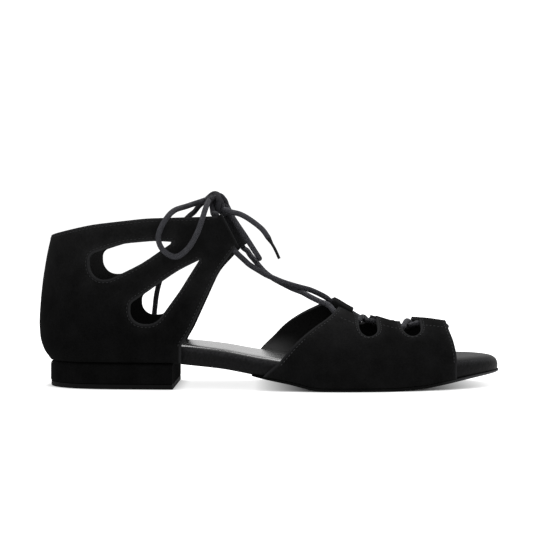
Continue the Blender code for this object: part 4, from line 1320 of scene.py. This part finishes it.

# %% Painted light and shade of the upper: lighter towards the top and front, and in painted spots
Brush = namedtuple("Brush", "along height reach most")
PAINTED_SPOTS = (
    Brush(0.036, 0.036, 0.028, 0.65), Brush(0.093, 0.026, 0.030, 0.2), Brush(-0.026, 0.082, 0.028, -0.42),
    Brush(-0.036, 0.052, 0.014, 0.25),
)
painted_light, painted_light_in, painted_light_out = group(
    "painted_light_and_shade", [("Vector", VECTOR, (0, 0, 0))], [("Light", FLOAT)],
)
place = add(painted_light, "ShaderNodeSeparateXYZ", Vector=painted_light_in.outputs["Vector"])
# Painted light: the suede is lighter towards the top, as if lit from above, and towards the front.
light = ramp(painted_light, place.outputs["Z"], 0.02, 0.095, 0.8, 1.75)
light = math_node(painted_light, "ADD", light, ramp(painted_light, place.outputs["X"], -0.02, 0.03, 0.0, 0.3))
flat = add(painted_light, "ShaderNodeCombineXYZ", X=place.outputs["X"], Z=place.outputs["Z"]).outputs[0]
# Painted spots of light, and a spot of painted shade where most is below 0.
for along, height, reach, most in PAINTED_SPOTS:
    apart = add(painted_light, "ShaderNodeVectorMath", {"operation": "DISTANCE"}, i0=flat, i1=(along, 0.0, height))
    gap = apart.outputs["Value"]
    light = math_node(painted_light, "ADD", light, ramp(painted_light, gap, 0.0, reach, most, 0.0))
painted_light.links.new(light, painted_light_out.inputs["Light"])
print("brushed places:", len(PAINTED_SPOTS))

# %% Seam trough, pale cut edge with painted highlight, and a paler band near the edge
seam, seam_in, seam_out = group(
    "cut_edge", [("Rim", FLOAT, FAR_FROM_EDGE)], [("Trough", FLOAT), ("Edge", FLOAT), ("Near_edge", FLOAT)],
)
from_row = math_node(seam, "ABSOLUTE", math_node(seam, "SUBTRACT", seam_in.outputs["Rim"], EDGE_ROW))
seam.links.new(ramp(seam, from_row, 0.0, 0.9, -1.0, 0.0), seam_out.inputs["Trough"])
seam.links.new(ramp(seam, seam_in.outputs["Rim"], 0.3, EDGE_ROW, 1.0, 0.0), seam_out.inputs["Edge"])
seam.links.new(ramp(seam, seam_in.outputs["Rim"], 0.5, FAR_FROM_EDGE, 1.4, 1.0), seam_out.inputs["Near_edge"])
print("cut edge nodes:", len(seam.nodes))


# %% Helpers for materials
def material(name, colour, roughness, specular=0.3):
    made = bpy.data.materials.new(name)
    made.use_nodes = True
    shader = made.node_tree.nodes["Principled BSDF"]
    shader.inputs["Base Color"].default_value = (*colour, 1.0)
    shader.inputs["Roughness"].default_value = roughness
    shader.inputs["Specular IOR Level"].default_value = specular
    return made, made.node_tree, shader


def object_coords(tree):
    return add(tree, "ShaderNodeTexCoord").outputs["Object"]


def bump(tree, shader, height, strength, distance):
    made = add(tree, "ShaderNodeBump", Height=height, Strength=strength, Distance=distance)
    tree.links.new(made.outputs["Normal"], shader.inputs["Normal"])


# %% The two suedes
# The pale colour of the cut edges, which is partly painted highlight, and of the painted light on the folds.
PALE_EDGE_AND_HIGHLIGHT = (0.020, 0.020, 0.021, 1)
PALE_EDGE_SHARE, TROUGH_DEPTH = 0.55, 2.2


def placed(tree, effect, **inputs):
    return add(tree, "ShaderNodeGroup", {"node_tree": effect}, **inputs).outputs


def suede(name, with_edges):
    made, tree, shader = material(name, (0.004, 0.004, 0.0042), 0.95, 0.0)
    shader.inputs["Sheen Weight"].default_value = 0.012
    shader.inputs["Sheen Roughness"].default_value = 0.4
    surface = placed(tree, nap, Vector=object_coords(tree))
    # Painted light and shade scale the nap colour.
    colour = scaled(tree, surface["Color"], placed(tree, painted_light, Vector=object_coords(tree))["Light"])
    height = surface["Height"]
    if with_edges:
        edge = placed(tree, seam, Rim=attribute(tree, "rim"))
        # Cut edges are painted pale, partly as painted highlight. Lit rows of the folds get painted light,
        # and the colour is paler near an edge.
        pale = math_node(tree, "MAXIMUM", edge["Edge"], attribute(tree, "lit"))
        near_edge_colour = scaled(tree, colour, edge["Near_edge"])
        colour = mixed(tree, math_node(tree, "MULTIPLY", pale, PALE_EDGE_SHARE), near_edge_colour, PALE_EDGE_AND_HIGHLIGHT)
        trough = math_node(tree, "MULTIPLY", edge["Trough"], TROUGH_DEPTH)
        height = math_node(tree, "ADD", height, trough)
    tree.links.new(colour, shader.inputs["Base Color"])
    bump(tree, shader, height, strength=0.5, distance=0.00022)
    print(name, len(tree.nodes), "nodes")
    return made


upper_suede = suede("upper_suede", True)
sole_suede = suede("sole_suede", False)


# %% [markdown]
# ## Leathers, threads and tips
# The linings, the sock, the wrap and the top piece are smooth leathers with a fine pebbled grain, so one
# function makes them all. The threads are a little paler than the suede. They are palest on the vamp and
# almost black beside the ankle's tunnels, where the photograph hardly shows the row.

# %% Leathers, threads and tips
COARSE_GRAIN = 0.35


def leather(name, colour, roughness, specular, grain, strength):
    made, tree, shader = material(name, colour, roughness, specular)
    coords = object_coords(tree)
    pebble = add(tree, "ShaderNodeTexVoronoi", {"feature": "SMOOTH_F1"}, Vector=coords, Scale=grain)
    height = math_node(tree, "ADD", pebble.outputs["Distance"], noise(tree, coords, grain * COARSE_GRAIN))
    bump(tree, shader, height, strength, distance=0.00025)
    return made


lining, vamp_lining = (
    leather(name, (0.010, 0.010, 0.010), 0.6, 0.03, grain=900.0, strength=0.15)
    for name in ("lining_leather", "vamp_lining")
)
insole_leather = leather(
    "insole_leather", (0.006, 0.006, 0.0062), 0.55, 0.05, grain=500.0, strength=0.04,
)
wrap_leather = leather("wrap_leather", (0.006, 0.006, 0.0063), 0.55, 0.06, grain=850.0, strength=0.5)
top_lift = leather("top_lift", (0.004, 0.004, 0.004), 0.8, 0.05, grain=700.0, strength=0.2)
thread, *_ = material("stitch_thread", (0.024, 0.024, 0.025), 0.8, 0.02)
vamp_thread, *_ = material("vamp_thread", (0.034, 0.034, 0.0355), 0.8, 0.02)
casing_thread, *_ = material("casing_thread", (0.006, 0.006, 0.0062), 0.8, 0.02)
tip_plastic, *_ = material("lace_tip", (0.006, 0.006, 0.0065), 0.5, 0.1)
print("materials:", len(bpy.data.materials))

# %% [markdown]
# ## Painted light and finishes along the shoe
# The linings are painted lighter where light reaches them: the quarter's towards the collar, the vamp's in
# its low rear corners. The sock shines at the waist. The wrap is mottled, and painted lighter towards its
# top edge, and the outsole is painted paler on its shaded edge at the toe. Each change is a ramp along an
# axis of the shoe or over the height of the piece.

# %% Linings with painted light, lighter in places
def paler(finish, dark, light, *fades):
    """Paints light on a lining, from dark to light by fades, each with its axis, start, end and two shares.
    """
    tree = finish.node_tree
    value = light - dark
    for axis, *reach in fades:
        place = axis_place(tree, axis, object_coords(tree))
        value = math_node(tree, "MULTIPLY", value, ramp(tree, place, *reach))
    value = math_node(tree, "ADD", value, dark)
    colour = add(tree, "ShaderNodeCombineColor", Red=value, Green=value, Blue=value)
    tree.links.new(colour.outputs[0], tree.nodes["Principled BSDF"].inputs["Base Color"])


# Painted light: the quarter's lining lighter towards the collar, and the vamp's in its low rear corners.
paler(lining, 0.0045, 0.0135, ("Z", 0.045, 0.066, 0.0, 1.0))
paler(vamp_lining, 0.009, 0.120, ("X", 0.000, 0.022, 1.0, 0.0), ("Z", 0.014, 0.027, 1.0, 0.0))

# %% Shiny waist of the insole
tree = insole_leather.node_tree
shader = tree.nodes["Principled BSDF"]
along = axis_place(tree, "X", object_coords(tree))
tree.links.new(ramp(tree, along, 0.0, 0.08, 1.0, 0.04), shader.inputs["Coat Weight"])
shader.inputs["Coat Roughness"].default_value = 0.25

# %% Mottled grain of the wrap, with painted light that makes it lighter towards its top edge
tree = wrap_leather.node_tree
shader = tree.nodes["Principled BSDF"]
mottle = ramp(tree, noise(tree, object_coords(tree), 900.0, 3.0, 0.7), 0.3, 0.7, 0.55, 1.45)
# Painted light: the wrap is lighter towards its top edge, as if lit from above.
light = math_node(tree, "MULTIPLY", mottle, ramp(tree, attribute(tree, "rise"), 0.62, 1.05, 0.58, 2.4))
tree.links.new(scaled(tree, (0.006, 0.006, 0.0064), light), shader.inputs["Base Color"])

# %% Outsole painted paler at the toe, as painted light on its shaded edge
outsole_suede = sole_suede.copy()
outsole_suede.name = "outsole_suede"
tree = outsole_suede.node_tree
shader = tree.nodes["Principled BSDF"]
towards_toe = ramp(tree, axis_place(tree, "X", object_coords(tree)), 0.085, 0.118)
napped = shader.inputs["Base Color"].links[0].from_socket
# Painted light: the shaded outsole edge at the toe is painted paler.
toe_lightened = mixed(tree, towards_toe, napped, (0.045, 0.045, 0.047, 1))
tree.links.new(toe_lightened, shader.inputs["Base Color"])

# %% [markdown]
# ## The braid
# A round braid shows small diamonds, each a yarn that goes over its neighbours. The UV map of a cord keeps
# the share of the way round it, and the way along it in millimetres. The two slanting sets of yarns are
# sums and differences of these, and a checker says which of them is on top. The gaps between the yarns are
# painted dark, as painted shade. The knot, the middle crossing and the inner end get a copy with darker
# yarns, which is painted shade.

# %% Braided lace
DIAMOND = 1.5
DIAMONDS_ROUND = 6
braid, tree, shader = material("lace_braid", (0.014, 0.014, 0.016), 0.8, 0.06)
surface = add(tree, "ShaderNodeSeparateXYZ", Vector=add(tree, "ShaderNodeTexCoord").outputs["UV"])
across = math_node(tree, "MULTIPLY", surface.outputs["X"], DIAMONDS_ROUND)
along = math_node(tree, "DIVIDE", surface.outputs["Y"], DIAMOND)
ways = [math_node(tree, "ADD", along, across), math_node(tree, "SUBTRACT", along, across)]
weave = add(tree, "ShaderNodeCombineXYZ", X=ways[0], Y=ways[1])
over = add(tree, "ShaderNodeTexChecker", Vector=weave.outputs[0], Scale=1.0).outputs["Fac"]
waves = [math_node(tree, "SINE", math_node(tree, "MULTIPLY", way, math.pi)) for way in ways]
yarns = [math_node(tree, "ABSOLUTE", wave) for wave in waves]
first = math_node(tree, "MULTIPLY", yarns[0], over)
second = math_node(tree, "MULTIPLY", yarns[1], math_node(tree, "SUBTRACT", 1.0, over))
crown = math_node(tree, "ADD", first, second)
# The gaps between yarns are painted dark, as painted shade.
between, yarn, shaded_yarn = (0.004, 0.004, 0.005, 1), (0.066, 0.066, 0.074, 1), (0.034, 0.034, 0.038, 1)
shade = mixed(tree, ramp(tree, crown, 0.25, 0.95), between, yarn)
shade.node.name = "yarn"
tree.links.new(shade, shader.inputs["Base Color"])
bump(tree, shader, crown, strength=0.7, distance=0.0003)
# A copy with darker yarns, painted shade for the lace that lies in shade.
shaded_braid = braid.copy()
shaded_braid.name = "lace_braid_shaded"
shaded_braid.node_tree.nodes["yarn"].inputs[7].default_value = shaded_yarn
print("braid nodes:", len(tree.nodes))


# %% Dress the pieces
def dress(piece, *finishes):
    """Fills the piece's material slots in order, and adds the ones that it does not have yet."""
    slots = piece.data.materials
    for place, finish in enumerate(finishes):
        if place < len(slots):
            slots[place] = finish
        else:
            slots.append(finish)


dress(quarter, upper_suede, lining)
for side in (OUTER, INNER):
    dress(vamp_pieces[side], upper_suede, vamp_lining)
    dress(vamp_stitches[side], vamp_thread)
dress(quarter_stitches, thread)
dress(casing_stitches, casing_thread)
dress(platform, wrap_leather)
dress(insole, insole_leather)
dress(outsole, outsole_suede)
dress(heel_block, sole_suede)
dress(heel_top, top_lift)
for piece in (*free_lace.values(), *lace_strands.values()):
    dress(piece, braid)
# These lie in shade, so they get the braid with painted shade.
for piece in (free_lace["end_inner"], lace_strands["lace_cross_middle"], knot):
    dress(piece, shaded_braid)
for piece in lace_tips.values():
    dress(piece, tip_plastic)

# %% [markdown]
# ## Floor and light
# The photograph is a studio picture on pure white, with a soft shadow only close under the shoe. A floor
# that only takes light would turn grey in a wide patch. So it glows white, like a light table, and its glow
# fades within a few millimetres of the shoe. The world is bright white too, with one soft lamp above.

# %% Floor and world
FLOOR_SIZE, FLOOR_GLOW, SHADOW_REACH = 8.0, 0.86, 0.007
WORLD_LIGHT = 1.1
bpy.ops.mesh.primitive_plane_add(size=FLOOR_SIZE, location=(0, 0, 0))
floor = bpy.context.object
floor.name = "floor"
floor_white, tree, floor_shader = material("floor_white", (0.4, 0.4, 0.4), 0.9, 0.0)
close = add(tree, "ShaderNodeAmbientOcclusion", Distance=SHADOW_REACH)
tree.links.new(close.outputs["Color"], floor_shader.inputs["Emission Color"])
floor_shader.inputs["Emission Strength"].default_value = FLOOR_GLOW
dress(floor, floor_white)
world = bpy.data.worlds.new("studio")
bpy.context.scene.world = world
world.use_nodes = True
background = world.node_tree.nodes["Background"]
background.inputs["Color"].default_value = (1, 1, 1, 1)
background.inputs["Strength"].default_value = WORLD_LIGHT
bpy.context.scene.view_settings.view_transform = "Standard"

# %% Lamp
LAMP_AT, LAMP_AIM = Vector((0.05, 0.45, 1.25)), Vector((0, 0, 0.04))
bpy.ops.object.light_add(type="AREA", location=LAMP_AT)
lamp = bpy.context.object
lamp.name = "top"
lamp.data.size = 0.9
lamp.data.energy = 20
lamp.rotation_euler = (LAMP_AIM - LAMP_AT).to_track_quat("-Z", "Y").to_euler()
print("lamp:", round((LAMP_AIM - LAMP_AT).length, 2), "m from the shoe")

# %% [markdown]
# ## The pieces on the body
# Every piece rides on the one body, and the solids that it stands for are hidden.

STANDS_FOR = (
    (quarter, "suede", ["quarter"]),
    (vamp_pieces[OUTER], "suede", ["vamp_outer"]),
    (vamp_pieces[INNER], "suede", ["vamp_inner"]),
    (platform, "wrap_leather", ["platform"]),
    (insole, "insole_leather", ["insole"]),
    (outsole, "suede", ["outsole"]),
    (heel_block, "suede", ["heel_block"]),
    (heel_top, "top_piece", ["heel_top_piece"]),
    (quarter_stitches, "suede", []),
    (casing_stitches, "suede", []),
    (vamp_stitches[OUTER], "suede", []),
    (vamp_stitches[INNER], "suede", []),
    (knot, "braid", ["lace_knot"]),
    *((piece, "braid", [name]) for name, piece in lace_strands.items()),
    *((piece, "braid", ["lace_" + name]) for name, piece in free_lace.items()),
    *((piece, "lace_tip", ["lace_" + name]) for name, piece in lace_tips.items()),
)
for piece, slot, nodes in STANDS_FOR:
    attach(piece, "root")
    if nodes:
        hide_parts(*nodes)
for name, piece in free_lace.items():
    route = FREE_ROUTES[name]
